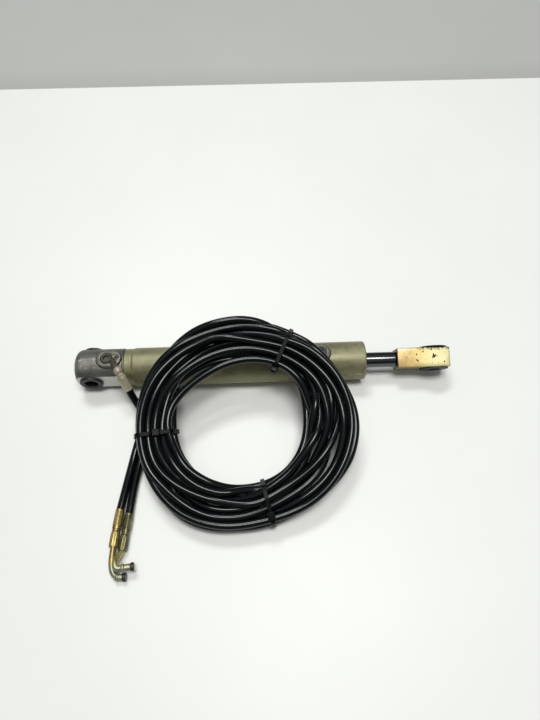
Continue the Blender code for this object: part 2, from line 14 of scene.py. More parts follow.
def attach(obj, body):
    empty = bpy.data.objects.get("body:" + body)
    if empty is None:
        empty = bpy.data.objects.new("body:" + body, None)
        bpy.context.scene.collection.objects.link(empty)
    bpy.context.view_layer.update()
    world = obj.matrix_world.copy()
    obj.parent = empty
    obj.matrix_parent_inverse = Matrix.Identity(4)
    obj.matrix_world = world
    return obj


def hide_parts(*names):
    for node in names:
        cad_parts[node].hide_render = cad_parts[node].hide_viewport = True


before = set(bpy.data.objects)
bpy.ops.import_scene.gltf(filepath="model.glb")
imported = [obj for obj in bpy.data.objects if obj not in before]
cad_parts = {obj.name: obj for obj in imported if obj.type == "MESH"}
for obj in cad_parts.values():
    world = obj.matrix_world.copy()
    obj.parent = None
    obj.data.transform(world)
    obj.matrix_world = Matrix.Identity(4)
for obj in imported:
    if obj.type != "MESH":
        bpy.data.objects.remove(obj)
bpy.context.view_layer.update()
MM = 0.001
scene = bpy.context.scene
looks = bpy.data.collections.new("looks")
scene.collection.children.link(looks)

# ---------------------------------------------------------------- camera
cam_data = bpy.data.cameras.new("camera")
cam_data.lens = 26.0
cam_data.sensor_width = 36.0
cam_data.clip_start = 0.005
cam_data.clip_end = 20.0
cam_data.dof.use_dof = False
cam = bpy.data.objects.new("camera", cam_data)
scene.collection.objects.link(cam)
cam.location = Vector((-1.24, -156.69, 317.90)) * MM
cam.rotation_euler = Vector((0.0158, 0.4615, -0.8870)).to_track_quat('-Z', 'Y').to_euler()
scene.camera = cam


# ---------------------------------------------------------------- materials
class Nodes:
    """Short forms for building a material's node tree."""

    def __init__(self, name):
        self.mat = bpy.data.materials.new(name)
        self.mat.use_nodes = True
        self.t = self.mat.node_tree
        self.bsdf = self.t.nodes["Principled BSDF"]
        self.co = self.t.nodes.new("ShaderNodeTexCoord").outputs["Object"]
        self.height = None

    def link(self, a, b):
        self.t.links.new(a, b)

    def mapped(self, scale, rot=(0, 0, 0), loc=(0, 0, 0)):
        n = self.t.nodes.new("ShaderNodeMapping")
        n.inputs["Scale"].default_value = scale
        n.inputs["Rotation"].default_value = rot
        n.inputs["Location"].default_value = loc
        self.link(self.co, n.inputs["Vector"])
        return n.outputs[0]

    def noise(self, scale, detail=4.0, rough=0.55, vec=None, dist=0.0):
        n = self.t.nodes.new("ShaderNodeTexNoise")
        n.inputs["Scale"].default_value = scale
        n.inputs["Detail"].default_value = detail
        n.inputs["Roughness"].default_value = rough
        n.inputs["Distortion"].default_value = dist
        self.link(vec if vec is not None else self.co, n.inputs["Vector"])
        return n.outputs["Fac"]

    def voronoi(self, scale, vec=None, feature='F1'):
        n = self.t.nodes.new("ShaderNodeTexVoronoi")
        n.feature = feature
        n.inputs["Scale"].default_value = scale
        self.link(vec if vec is not None else self.co, n.inputs["Vector"])
        return n.outputs["Distance"]

    def ramp(self, fac, stops, interp='LINEAR'):
        n = self.t.nodes.new("ShaderNodeValToRGB")
        n.color_ramp.interpolation = interp
        e = n.color_ramp.elements
        while len(e) < len(stops):
            e.new(0.5)
        for el, (p, c) in zip(e, stops):
            el.position = p
            el.color = (*c, 1.0) if hasattr(c, "__len__") else (c, c, c, 1.0)
        self.link(fac, n.inputs["Fac"])
        return n.outputs["Color"]

    def span(self, fac, a, b, lo, hi):
        n = self.t.nodes.new("ShaderNodeMapRange")
        for k, v in (("From Min", a), ("From Max", b), ("To Min", lo), ("To Max", hi)):
            n.inputs[k].default_value = v
        self.link(fac, n.inputs["Value"])
        return n.outputs["Result"]

    def mix(self, fac, a, b, kind='MIX'):
        n = self.t.nodes.new("ShaderNodeMix")
        n.data_type = 'RGBA'
        n.blend_type = kind
        for sock, v in ((n.inputs[0], fac), (n.inputs[6], a), (n.inputs[7], b)):
            if isinstance(v, (int, float)):
                sock.default_value = v
            elif isinstance(v, tuple):
                sock.default_value = (*v, 1.0)
            else:
                self.link(v, sock)
        return n.outputs[2]

    def math(self, op, a, b=0.0, c=0.0):
        n = self.t.nodes.new("ShaderNodeMath")
        n.operation = op
        for s, v in zip(n.inputs, (a, b, c)):
            if isinstance(v, (int, float)):
                s.default_value = v
            else:
                self.link(v, s)
        return n.outputs[0]

    def axis(self, k):
        n = self.t.nodes.new("ShaderNodeSeparateXYZ")
        self.link(self.co, n.inputs[0])
        return n.outputs[k]

    def ball(self, centre, r0, r1):
        """1 inside a ball of radius r0 (mm) about centre, 0 outside r1."""
        n = self.t.nodes.new("ShaderNodeVectorMath")
        n.operation = 'DISTANCE'
        self.link(self.co, n.inputs[0])
        n.inputs[1].default_value = Vector(centre) * MM
        return self.span(n.outputs["Value"], r0 * MM, r1 * MM, 1.0, 0.0)

    def bump(self, height, strength, dist=0.0002):
        n = self.t.nodes.new("ShaderNodeBump")
        n.inputs["Strength"].default_value = strength
        n.inputs["Distance"].default_value = dist
        self.link(height, n.inputs["Height"])
        if self.height is not None:
            self.link(self.height, n.inputs["Normal"])
        self.height = n.outputs["Normal"]
        return self

    def done(self, colour, rough, metal=0.0, **fixed):
        b = self.bsdf
        if isinstance(colour, tuple):
            b.inputs["Base Color"].default_value = (*colour, 1.0)
        else:
            self.link(colour, b.inputs["Base Color"])
        if isinstance(rough, (int, float)):
            b.inputs["Roughness"].default_value = rough
        else:
            self.link(rough, b.inputs["Roughness"])
        if isinstance(metal, (int, float)):
            b.inputs["Metallic"].default_value = metal
        else:
            self.link(metal, b.inputs["Metallic"])
        for k, v in fixed.items():
            b.inputs[k.replace("_", " ")].default_value = v
        if self.height is not None:
            self.link(self.height, b.inputs["Normal"])
        return self.mat


def chromate(name, base, light, dark, rough=(0.30, 0.48), metal=0.8, streak=(30, 220, 220)):
    """Zinc plate with a chromate film: cloudy, with faint marks and specks."""
    n = Nodes(name)
    cloud = n.noise(70, 5, 0.6, dist=0.4)
    fine = n.noise(900, 3, 0.6)
    lines = n.noise(6, 6, 0.62, vec=n.mapped(streak))
    c = n.ramp(cloud, [(0.32, dark), (0.5, base), (0.7, light)])
    c = n.mix(n.span(lines, 0.45, 0.72, 0.0, 0.35), c, light)
    specks = n.span(n.voronoi(420), 0.05, 0.13, 1.0, 0.0)
    keep = n.span(n.noise(160, 2), 0.52, 0.6, 0.0, 0.75)
    c = n.mix(n.math('MULTIPLY', specks, keep), c, tuple(x * 0.35 for x in dark))
    n.bump(fine, 0.10, 0.00005)
    n.bump(lines, 0.10, 0.00008)
    r = n.span(n.math('ADD', n.math('MULTIPLY', cloud, 0.7), n.math('MULTIPLY', fine, 0.3)), 0.3, 0.7, *rough)
    return n.done(c, r, metal)


def make_materials():
    m = {}
    # cylinder tube
    n = Nodes("olive_chromate")
    cloud = n.noise(55, 6, 0.62, dist=0.5)
    big = n.noise(16, 3, 0.5)
    lines = n.noise(5, 6, 0.62, vec=n.mapped((26, 260, 260)))
    c = n.ramp(cloud, [(0.30, (0.156, 0.152, 0.084)), (0.5, (0.222, 0.216, 0.122)), (0.72, (0.286, 0.281, 0.168))])
    c = n.mix(n.span(big, 0.42, 0.68, 0.0, 0.35), c, (0.275, 0.255, 0.140))
    c = n.mix(n.span(lines, 0.5, 0.75, 0.0, 0.3), c, (0.40, 0.388, 0.255))
    # painted reflection: a yellowish band low on the tube, between z 8.2 and 10.8 mm, where the chromate mirrors the
    # pale table
    z = n.axis(2)
    low = n.span(z, 0.0082, 0.0108, 0.75, 0.0)
    c = n.mix(low, c, (0.43, 0.385, 0.165))
    # painted shade: below z 7.6 mm the tube's underside is darkened to dark olive
    c = n.mix(n.span(z, 0.0066, 0.0076, 0.75, 0.0), c, (0.165, 0.150, 0.050))
    stain = n.math('MULTIPLY', n.ball((-85.5, -11.0, 17.0), 2.0, 10.0), n.span(n.noise(240, 4, 0.6), 0.40, 0.62, 0.0, 0.9))
    c = n.mix(stain, c, (0.115, 0.098, 0.030))
    dirt = n.math('MULTIPLY', n.span(n.noise(210, 4), 0.56, 0.66, 0.0, 0.55), n.span(big, 0.4, 0.6, 0.2, 1.0))
    c = n.mix(dirt, c, (0.085, 0.080, 0.050))
    n.bump(n.noise(1100, 2), 0.08, 0.00005)
    n.bump(lines, 0.12, 0.00008)
    r = n.span(cloud, 0.3, 0.7, 0.42, 0.56)
    m["olive_chromate"] = n.done(c, r, 0.50)

    # cast end cap and clamp plates
    n = Nodes("grey_casting")
    skin = n.noise(420, 4, 0.65)
    cloud = n.noise(70, 5, 0.6, dist=0.3)
    pits = n.span(n.voronoi(520), 0.06, 0.2, 1.0, 0.0)
    pits = n.math('MULTIPLY', pits, n.span(n.noise(190, 2), 0.5, 0.62, 0.0, 1.0))
    c = n.ramp(cloud, [(0.3, (0.075, 0.078, 0.072)), (0.52, (0.112, 0.115, 0.105)), (0.75, (0.155, 0.155, 0.130))])
    c = n.mix(n.span(n.noise(33, 3), 0.52, 0.7, 0.0, 0.5), c, (0.145, 0.142, 0.105))
    c = n.mix(n.math('MULTIPLY', pits, 0.75), c, (0.028, 0.028, 0.026))
    y, z = n.axis(1), n.axis(2)
    # a lighter band on the cap's upward-front face: wear, with a painted sheen where that face turns to the light; the
    # bright glints in it are painted highlights
    band = n.math('MULTIPLY', n.span(y, 0.0006, 0.0009, 1.0, 0.0), n.span(y, -0.0085, -0.0055, 0.0, 1.0))
    band = n.math('MULTIPLY', band, n.span(z, 0.018, 0.021, 0.0, 1.0))
    band = n.math('MULTIPLY', band, n.span(n.axis(0), -0.1075, -0.0985, 1.0, 0.25))
    c = n.mix(n.math('MULTIPLY', band, n.span(n.noise(150, 5, 0.65), 0.36, 0.62, 0.25, 0.95)), c, (0.225, 0.222, 0.195))
    glint = n.math('MULTIPLY', band, n.span(n.noise(620, 3, 0.6), 0.62, 0.70, 0.0, 0.9))
    c = n.mix(glint, c, (0.55, 0.54, 0.48))
    # painted shadow: a mottled dark brown patch on the cap right under the port neck
    painted_neck_shadow = n.math('MULTIPLY', n.ball((-93.5, -6.0, 23.0), 2.5, 8.0), n.span(n.noise(260, 4, 0.6), 0.42, 0.6, 0.0, 0.85))
    c = n.mix(painted_neck_shadow, c, (0.105, 0.088, 0.055))
    n.bump(skin, 0.30, 0.0001)
    n.bump(n.math('SUBTRACT', 1.0, pits), 0.45, 0.00018)
    m["grey_casting"] = n.done(c, n.span(skin, 0.3, 0.7, 0.36, 0.54), 0.5)

    n = Nodes("clamp_plate")
    cloud = n.noise(120, 5, 0.6, dist=0.3)
    c = n.ramp(cloud, [(0.3, (0.070, 0.069, 0.056)), (0.5, (0.108, 0.105, 0.085)), (0.75, (0.170, 0.162, 0.130))])
    c = n.mix(n.span(n.noise(260, 4, 0.6), 0.55, 0.68, 0.0, 0.6), c, (0.060, 0.050, 0.032))
    n.bump(n.noise(500, 4, 0.6), 0.25, 0.0001)
    m["clamp_plate"] = n.done(c, n.span(cloud, 0.3, 0.7, 0.36, 0.52), 0.6)

    # ground flat on the cap
    n = Nodes("machined_flat")
    lines = n.noise(5, 5, 0.6, vec=n.mapped((40, 300, 900)))
    c = n.ramp(lines, [(0.3, (0.46, 0.45, 0.42)), (0.55, (0.64, 0.63, 0.59)), (0.8, (0.76, 0.75, 0.71))])
    c = n.mix(n.span(n.noise(330, 4, 0.6), 0.56, 0.66, 0.0, 0.6), c, (0.30, 0.29, 0.26))
    n.bump(lines, 0.2, 0.00006)
    m["machined_flat"] = n.done(c, n.span(lines, 0.3, 0.7, 0.34, 0.50), 0.45)

    # rod
    n = Nodes("hard_chrome")
    lines = n.noise(8, 5, 0.6, vec=n.mapped((900, 40, 40)))
    c = n.ramp(lines, [(0.3, (0.080, 0.083, 0.085)), (0.7, (0.125, 0.129, 0.131))])
    n.bump(lines, 0.03, 0.00003)
    m["hard_chrome"] = n.done(c, n.span(n.noise(60, 4), 0.3, 0.7, 0.10, 0.14), 1.0)

    # rod-end block
    n = Nodes("yellow_chromate")
    x = n.axis(0)
    cloud = n.noise(60, 5, 0.6, dist=0.6)
    # the film runs from pinkish brown at the rod end to pale cream at the far end: its tint, with a painted highlight
    # in the pale cream end
    f = n.math('ADD', n.span(x, 0.087, 0.1215, 0.0, 1.0), n.span(cloud, 0.3, 0.7, -0.16, 0.16))
    c = n.ramp(f, [(0.03, (0.335, 0.225, 0.092)), (0.18, (0.44, 0.325, 0.118)), (0.38, (0.55, 0.445, 0.180)), (0.62, (0.655, 0.580, 0.275)), (0.9, (0.72, 0.660, 0.37))])
    # washed-out corner next to the rod, on the far side
    wedge = n.math('SUBTRACT', n.axis(1), n.math('MULTIPLY', n.math('SUBTRACT', x, 0.087), 0.14))
    wedge = n.math('MULTIPLY', n.span(wedge, 0.0013, 0.0022, 0.0, 1.0), n.span(x, 0.100, 0.108, 1.0, 0.0))
    c = n.mix(n.math('MULTIPLY', wedge, 0.9), c, (0.30, 0.285, 0.25))
    # chipped film along the far upper edge
    chip = n.math('MULTIPLY', n.span(n.axis(1), 0.0019, 0.0031, 0.0, 1.0), n.span(x, 0.0985, 0.102, 0.0, 1.0))
    chip = n.math('MULTIPLY', chip, n.span(n.noise(620, 4, 0.7), 0.44, 0.54, 0.0, 0.92))
    c = n.mix(chip, c, (0.050, 0.040, 0.022))
    edge = n.span(x, 0.1206, 0.1214, 0.0, 0.8)
    c = n.mix(n.math('MULTIPLY', edge, n.span(n.noise(420, 3), 0.4, 0.6, 0.4, 1.0)), c, (0.12, 0.09, 0.045))
    mott = n.span(n.noise(240, 5, 0.65), 0.5, 0.68, 0.0, 0.42)
    c = n.mix(mott, c, (0.66, 0.50, 0.24))
    fleck = n.math('MULTIPLY', n.span(n.voronoi(620), 0.04, 0.12, 1.0, 0.0), n.span(n.noise(130, 2), 0.52, 0.6, 0.0, 1.0))
    c = n.mix(n.math('MULTIPLY', fleck, 0.8), c, (0.16, 0.11, 0.05))
    # painted shade: the end towards the rod and the lower faces of the block are darkened
    c = n.mix(n.span(x, 0.0870, 0.0877, 0.92, 0.0), c, (0.060, 0.056, 0.046))
    c = n.mix(n.span(n.axis(2), 0.0135, 0.0172, 0.80, 0.0), c, (0.170, 0.140, 0.070))
    n.bump(n.noise(520, 4, 0.6), 0.14, 0.00008)
    n.bump(n.noise(4, 5, 0.6, vec=n.mapped((60, 420, 420))), 0.12, 0.00008)
    m["yellow_chromate"] = n.done(c, n.span(cloud, 0.3, 0.7, 0.34, 0.48), 0.55)

    # hose-end fittings: brassy dichromate, uneven, with random darker patches
    n = Nodes("brass_chromate")
    cloud = n.noise(160, 5, 0.62, dist=0.6)
    c = n.ramp(cloud, [(0.28, (0.13, 0.084, 0.028)), (0.45, (0.30, 0.216, 0.072)), (0.6, (0.44, 0.345, 0.135)), (0.78, (0.56, 0.49, 0.27))])
    dirt = n.span(n.noise(300, 4, 0.6), 0.53, 0.66, 0.0, 0.75)
    c = n.mix(dirt, c, (0.10, 0.075, 0.035))
    n.bump(n.noise(700, 3, 0.6), 0.16, 0.00008)
    m["brass_chromate"] = n.done(c, n.span(cloud, 0.3, 0.7, 0.26, 0.42), 0.8)

    n = Nodes("olive_brass")
    cloud = n.noise(150, 5, 0.62, dist=0.6)
    c = n.ramp(cloud, [(0.28, (0.060, 0.055, 0.028)), (0.45, (0.140, 0.130, 0.068)), (0.6, (0.215, 0.200, 0.110)), (0.78, (0.38, 0.365, 0.24))])
    dirt = n.span(n.noise(320, 4, 0.6), 0.53, 0.66, 0.0, 0.7)
    c = n.mix(dirt, c, (0.08, 0.07, 0.04))
    n.bump(n.noise(700, 3, 0.6), 0.16, 0.00008)
    m["olive_brass"] = n.done(c, n.span(cloud, 0.3, 0.7, 0.27, 0.44), 0.8)

        # bent pipes: yellow where they leave the sockets, bare and grey at the elbow and the stub
    for tag, warm, edge in (("a", (0.36, 0.27, 0.105), -0.1215), ("b", (0.40, 0.35, 0.135), -0.1220)):
        n = Nodes("pipe_" + tag)
        cloud = n.noise(170, 5, 0.62, dist=0.5)
        grey = n.ramp(cloud, [(0.3, (0.17, 0.168, 0.115)), (0.5, (0.29, 0.290, 0.210)), (0.75, (0.42, 0.420, 0.325))])
        gold = n.ramp(cloud, [(0.3, tuple(v * 0.45 for v in warm)), (0.5, warm), (0.78, tuple(min(1.0, v * 1.35 + 0.08) for v in warm))])
        c = n.mix(n.span(n.math('ADD', n.axis(1), n.span(cloud, 0.3, 0.7, -0.0012, 0.0012)), edge - 0.0015, edge + 0.0025, 0.0, 1.0), grey, gold)
        c = n.mix(n.span(n.noise(320, 4, 0.6), 0.55, 0.66, 0.0, 0.7), c, (0.085, 0.072, 0.040))
        n.bump(n.noise(700, 3, 0.6), 0.12, 0.00006)
        m["pipe_" + tag] = n.done(c, n.span(cloud, 0.3, 0.7, 0.32, 0.48), 0.65)
    m["neck_dark"] = chromate("neck_dark", (0.092, 0.086, 0.062), (0.150, 0.142, 0.105), (0.040, 0.036, 0.026), rough=(0.36, 0.50), metal=0.5)
    m["beige_plating"] = chromate("beige_plating", (0.44, 0.405, 0.285), (0.56, 0.52, 0.38), (0.28, 0.245, 0.16), rough=(0.40, 0.54), metal=0.4)
    m["beige_collar"] = chromate("beige_collar", (0.36, 0.315, 0.245), (0.46, 0.41, 0.33), (0.22, 0.19, 0.14), rough=(0.38, 0.52), metal=0.3)
    m["bright_steel"] = chromate("bright_steel", (0.40, 0.40, 0.39), (0.52, 0.52, 0.50), (0.24, 0.24, 0.23), rough=(0.22, 0.36), metal=1.0, streak=(300, 60, 60))
    # painted shade: a near-black for the socket screws (bright steel in fact), the counterbores, the block's rod bore
    # and the pits in the block, darkening them as if shaded in their recesses
    m["dark_pits_and_recess_shade"] = chromate("dark_pits_and_recess_shade", (0.045, 0.042, 0.033), (0.090, 0.086, 0.068), (0.018, 0.016, 0.012), rough=(0.40, 0.55), metal=0.4)
    m["bronze"] = chromate("bronze", (0.42, 0.25, 0.10), (0.55, 0.36, 0.16), (0.26, 0.14, 0.06), rough=(0.3, 0.42), metal=1.0)

    def polymer(name, a, b, rough, fine=1400, strength=0.12, **kw):
        n = Nodes(name)
        cloud = n.noise(140, 4, 0.6)
        c = n.ramp(cloud, [(0.35, a), (0.7, b)])
        n.bump(n.noise(fine, 3, 0.6), strength, 0.00006)
        return n.done(c, n.span(cloud, 0.3, 0.7, *rough), 0.0, **kw)

    m["black_plastic"] = polymer("black_plastic", (0.008, 0.008, 0.0085), (0.018, 0.018, 0.019), (0.38, 0.52), 900, 0.18, Specular_IOR_Level=0.36)
    m["tie_plastic"] = polymer("tie_plastic", (0.0018, 0.0022, 0.0024), (0.0036, 0.0041, 0.0044), (0.24, 0.34), 500, 0.06, Specular_IOR_Level=0.07)
    m["seal_rubber"] = polymer("seal_rubber", (0.008, 0.008, 0.008), (0.018, 0.018, 0.018), (0.42, 0.56), 1200, 0.2)
    m["filled_ptfe"] = polymer("filled_ptfe", (0.070, 0.115, 0.085), (0.10, 0.155, 0.115), (0.36, 0.46))

    # extruded hose jacket: glossy, with faint waves and scuffs along it
    n = Nodes("black_hose")
    scuff = n.noise(90, 5, 0.62, dist=0.4)
    fine = n.noise(1500, 2, 0.5)
    c = n.ramp(scuff, [(0.35, (0.0010, 0.0024, 0.0027)), (0.62, (0.0020, 0.0038, 0.0042)), (0.82, (0.0052, 0.0075, 0.0080))])
    n.bump(n.noise(120, 2, 0.5), 0.06, 0.00012)
    n.bump(fine, 0.02, 0.00002)
    m["black_hose"] = n.done(c, n.span(n.math('ADD', n.math('MULTIPLY', scuff, 0.8), n.math('MULTIPLY', fine, 0.2)), 0.36, 0.68, 0.10, 0.18), 0.0,
                             Specular_IOR_Level=0.31)
    return m


MAT = make_materials()

# ---------------------------------------------------------------- the two hoses
# The strands are laid out pass by pass round the coil, then settled against one
# another, the tube and the table as stiff hoses of a fixed length.
D_HOSE = 4.7
ORG = np.array([-12.0, -46.5, 35.0 - 0.265 * 46.5])       # middle of the coil
TILT = math.atan(0.265)                                    # it leans on the tube
NRM = np.array([0, -math.sin(TILT), math.cos(TILT)])
VV = np.array([0, math.cos(TILT), math.sin(TILT)])
UU = np.array([1.0, 0, 0])

# one row per pass: (angle from the left side, radius, height above the coil's middle plane)
HI, LO, DEEP = 2.5, -2.4, -7.0
PASS = {
    # lower half of the picture, left to right: -180 .. 0
    "M1": [(-180, 60.5, DEEP), (-160, 58.5, -6.6), (-140, 56.5, -3.2), (-130, 55.5, -1), (-120, 53.5, 0), (-110, 51, 0), (-100, 49, LO),
           (-92, 47.8, LO), (-77, 46.6, LO), (-60, 45.6, LO), (-42, 45.2, LO), (-28, 45.6, -0.5), (-15, 46.5, 1.5), (0, 47.8, HI)],
    "L5": [(-180, 54, HI), (-165, 53.5, HI), (-155, 52.3, HI), (-145, 50.8, HI), (-138, 49.3, 1), (-128, 47.2, -1), (-110, 44.3, LO),
           (-100, 43.2, -1), (-92, 42.3, 1.5), (-80, 40, HI), (-65, 38.3, HI), (-50, 37.4, HI), (-40, 37.4, HI), (-30, 38, HI),
           (-20, 39.2, HI), (-10, 41.2, HI), (0, 43.6, HI)],
    "L6": [(-180, 50, 1.5), (-165, 50, HI), (-155, 49, HI), (-145, 47.3, HI), (-135, 45.5, HI), (-125, 43.9, HI), (-115, 42.5, HI),
           (-105, 41, 2), (-95, 39.9, 0.5), (-85, 40.4, LO), (-77, 41.4, LO), (-62, 42, -1), (-45, 41.4, -0.5), (-33, 41, -0.5),
           (-18, 40.2, 0), (-8, 40.1, 0.8), (0, 40.8, 1.6)],
    "M2": [(-180, 52.5, LO), (-150, 56.2, LO), (-125, 58.6, LO), (-110, 58, LO), (-100, 56.5, LO), (-90, 54.6, LO), (-78, 52.9, -1),
           (-70, 53, 1), (-60, 54, HI), (-45, 56, HI), (-30, 58.3, HI), (-15, 59.4, HI), (0, 59, HI)],
    "L3": [(-180, 61.8, 3.5), (-160, 61.6, 3), (-140, 60.5, HI), (-125, 58.9, HI), (-113, 56.8, HI), (-103, 54.8, HI), (-95, 53, HI),
           (-80, 50, HI), (-65, 48.6, HI), (-55, 49, HI), (-42, 50, 2), (-27, 51.3, 0), (-12, 51.8, LO), (0, 52, -1)],
    "L1": [(-180, 64, -1.5), (-160, 64.2, -1), (-145, 64.4, 0), (-130, 64.6, 1), (-118, 64.4, 2), (-110, 63.3, 2), (-100, 61.2, 1.5),
           (-90, 59.6, 0.5), (-77, 58.8, 0), (-65, 59.2, 0), (-50, 61, 1), (-30, 64.4, 1.5), (-15, 66.1, 1.5), (-5, 66.6, 1), (0, 66.5, 0.5)],
    "M4": [(-180, 43.6, LO), (-165, 43.2, LO), (-150, 42.2, LO), (-130, 41.6, -3.5), (-110, 42.6, -5.5), (-92, 45, -6.5), (-77, 47.5, -6.5),
           (-60, 49.5, -6), (-45, 50.2, -5), (-25, 48.5, -4), (-10, 45.5, -4), (0, 43.2, -4)],
    "L7": [(-180, 48, 2), (-175, 48, HI), (-165, 46, HI), (-155, 43.8, HI), (-145, 41.6, HI), (-135, 40.1, HI), (-125, 39.1, HI),
           (-115, 38.4, 2), (-105, 38.1, 1), (-95, 38, 0), (-85, 37.6, -1.5), (-60, 37.3, LO), (-35, 37, LO), (-10, 36.9, LO), (0, 36.8, LO)],
    "M3": [(-180, 56.8, LO), (-150, 61, LO), (-125, 63, LO), (-100, 60, LO), (-77, 57, LO), (-60, 58.2, LO), (-45, 60.2, -1),
           (-20, 64, -1), (0, 65, LO)],
    "L2": [(-180, 63.4, 1.5), (-165, 63.3, 1.2), (-150, 63, 1), (-135, 62.4, 1), (-120, 61.8, 1.8), (-112, 60.8, HI), (-103, 59.3, HI),
           (-95, 58, HI), (-85, 56.8, HI), (-78, 56.3, HI), (-70, 56.4, HI), (-62, 57, HI), (-50, 58.5, HI), (-40, 59.7, HI),
           (-30, 60.9, HI), (-20, 62, HI), (-10, 62.7, HI), (0, 62.9, HI)],
    "L4": [(-180, 58.2, HI), (-170, 57.7, HI), (-160, 56.3, HI), (-150, 54.3, HI), (-140, 52.3, HI), (-130, 50, HI), (-120, 48, HI),
           (-110, 46, HI), (-100, 44.7, HI), (-90, 43.9, HI), (-80, 43.5, HI), (-70, 43.2, HI), (-60, 43.3, HI), (-50, 44, HI),
           (-40, 45.5, HI), (-30, 47.5, HI), (-20, 50, HI), (-12, 52.2, 2), (-5, 54.3, 1), (0, 55.8, 0)],
    # upper half, right to left: 0 .. 180
    "R7": [(8, 49, HI), (20, 49.7, HI), (35, 49.5, HI), (50, 48.6, HI), (60, 47.6, HI), (70, 47, HI), (85, 46.6, HI), (100, 46.8, HI),
           (110, 47.3, HI), (125, 48.4, HI), (140, 50, HI), (155, 52, HI), (168, 53.4, HI)],
    "R8": [(5, 45.2, 1), (12, 46.6, -1), (25, 47.4, LO), (45, 47.2, LO), (65, 46.4, LO), (90, 46.6, LO), (105, 48, -1.5), (115, 49.2, 0),
           (130, 50.7, 0), (150, 50.8, 0), (168, 50.3, 0.5)],
    "R9a": [(4, 41.5, 2), (12, 43, 1.5), (20, 44.5, 0.5), (32, 47, -1.5), (45, 49.6, LO), (60, 51, LO), (90, 52.4, LO), (112, 53.4, -1),
            (122, 53.4, -1), (150, 53.6, LO), (168, 53, LO)],
    "R4": [(10, 58.1, HI), (20, 57.1, HI), (30, 56, HI), (40, 54.8, HI), (50, 54, HI), (60, 53.1, HI), (67, 52.7, HI), (80, 52.6, HI),
           (90, 53.3, HI), (100, 55, HI), (110, 57.3, HI), (120, 59.4, HI), (130, 61.1, HI), (140, 62.2, HI), (150, 62.6, 3), (165, 62.4, 3.5)],
    "R6": [(10, 53.5, 1), (18, 54.4, 0), (30, 56, LO), (45, 58, LO), (60, 59.8, -1), (68, 60.8, 0.5), (75, 62, 1.5), (85, 64, 2), (95, 65.6, 2),
           (105, 66.2, 2), (115, 66.1, 1.5), (125, 65.2, 1), (135, 64.6, 0), (150, 64.6, -0.5), (165, 64.4, -1)],
    "R1": [(10, 65.7, 0), (20, 64.6, 0), (35, 63.8, 0), (50, 63.2, 0), (60, 62.6, 0), (72, 63, -1), (90, 64.4, LO), (110, 65.6, LO), (130, 65, LO),
           (150, 64, -4), (165, 63.2, -6.5)],
    "R9b": [(10, 37.3, LO), (20, 38.7, LO), (35, 40.4, LO), (55, 40.6, LO), (75, 41, LO), (95, 42.2, LO), (115, 45, LO), (135, 49, LO), (155, 54, LO), (168, 56.4, LO)],
    "R10": [(8, 42.2, -1.5), (20, 41.9, 1.6), (35, 42.3, HI), (50, 42.3, HI), (60, 42, HI), (70, 41, HI), (80, 40.2, HI), (90, 39.4, HI),
            (100, 38.9, HI), (110, 38.5, HI), (120, 38.6, HI), (130, 39.2, HI), (140, 40.4, HI), (150, 42, HI), (160, 44.2, HI), (170, 46.6, HI)],
    "R2": [(12, 64.2, LO), (25, 62.6, LO), (45, 61.4, -1), (60, 60.4, 0), (75, 60.4, 1), (90, 60.8, 1.5), (100, 61, 1.5), (110, 61.4, 1.5), (120, 62.2, 1.5),
           (130, 63.4, 1.5), (140, 64.2, 1.5), (150, 64.4, 1.5), (165, 64, 1.5)],
    "R3": [(5, 63, HI), (12, 63.3, HI), (20, 63.3, HI), (30, 62.5, HI), (40, 61.3, HI), (50, 60, HI), (58, 59, HI), (68, 57.7, HI), (80, 56.9, HI),
           (92, 56.8, 2), (98, 56.8, 1), (110, 56.4, LO), (125, 56.2, LO), (140, 57, 0), (150, 57.6, 2), (162, 58, HI)],
    "R5": [(8, 58.8, LO), (25, 60, LO), (42, 57.6, LO), (60, 56.6, LO), (85, 59, LO), (110, 60.6, LO), (130, 61, LO), (150, 60, -4.5), (165, 58.6, -8)],
}
A_CHAIN = ["M1", "R7", "L5", "R8", "L6", "R9a", "M2", "R4", "L3", "R6", "L1", "R1"]
# hose B: the inner lower pass, then outwards
B_CHAIN = ["M4", "R10", "L7", "R9b", "M3", "R2", "L2", "R3", "L4", "R5"]


def chain_nodes(names, table, start):
    out = []
    base = start
    for n in names:
        for a, r, h in table[n]:
            out.append((base + a, r, h))
        if n[0] in "R":
            base += 360
    return out


BASE_FER = ((-90.1, -11.7, 24.7), (-86.5, -17.8, 15.9))
ROD_FER = ((22.6, 10.3, 25.0), (12.4, 14.0, 23.0))
A_START = [(-81.6, -26.0, 7.4), (-77.0, -34.1, 5.4), (-73.7, -40.7, 5.8), (-70.9, -49.2, 7.6)]
B_START = [(4.8, 16.5, 21.8), (-3.2, 17.7, 22.6), (-10.8, 16.9, 25.6)]
END_A = [(-72.3, -27.5, 18.0), (-77.0, -40.5, 9.5), (-80.6, -50.5, 5.0), (-83.4, -65.0, 3.8), (-84.8, -73.0, 3.8), (-86.2, -81.5, 3.8), (-87.6, -90.0, 3.8)]
END_B = [(-67.5, -30.0, 14.5), (-72.3, -42.0, 7.5), (-76.2, -52.4, 3.9), (-79.0, -65.0, 2.9), (-80.4, -73.5, 2.8), (-81.5, -83.0, 2.8), (-82.3, -92.4, 2.85)]


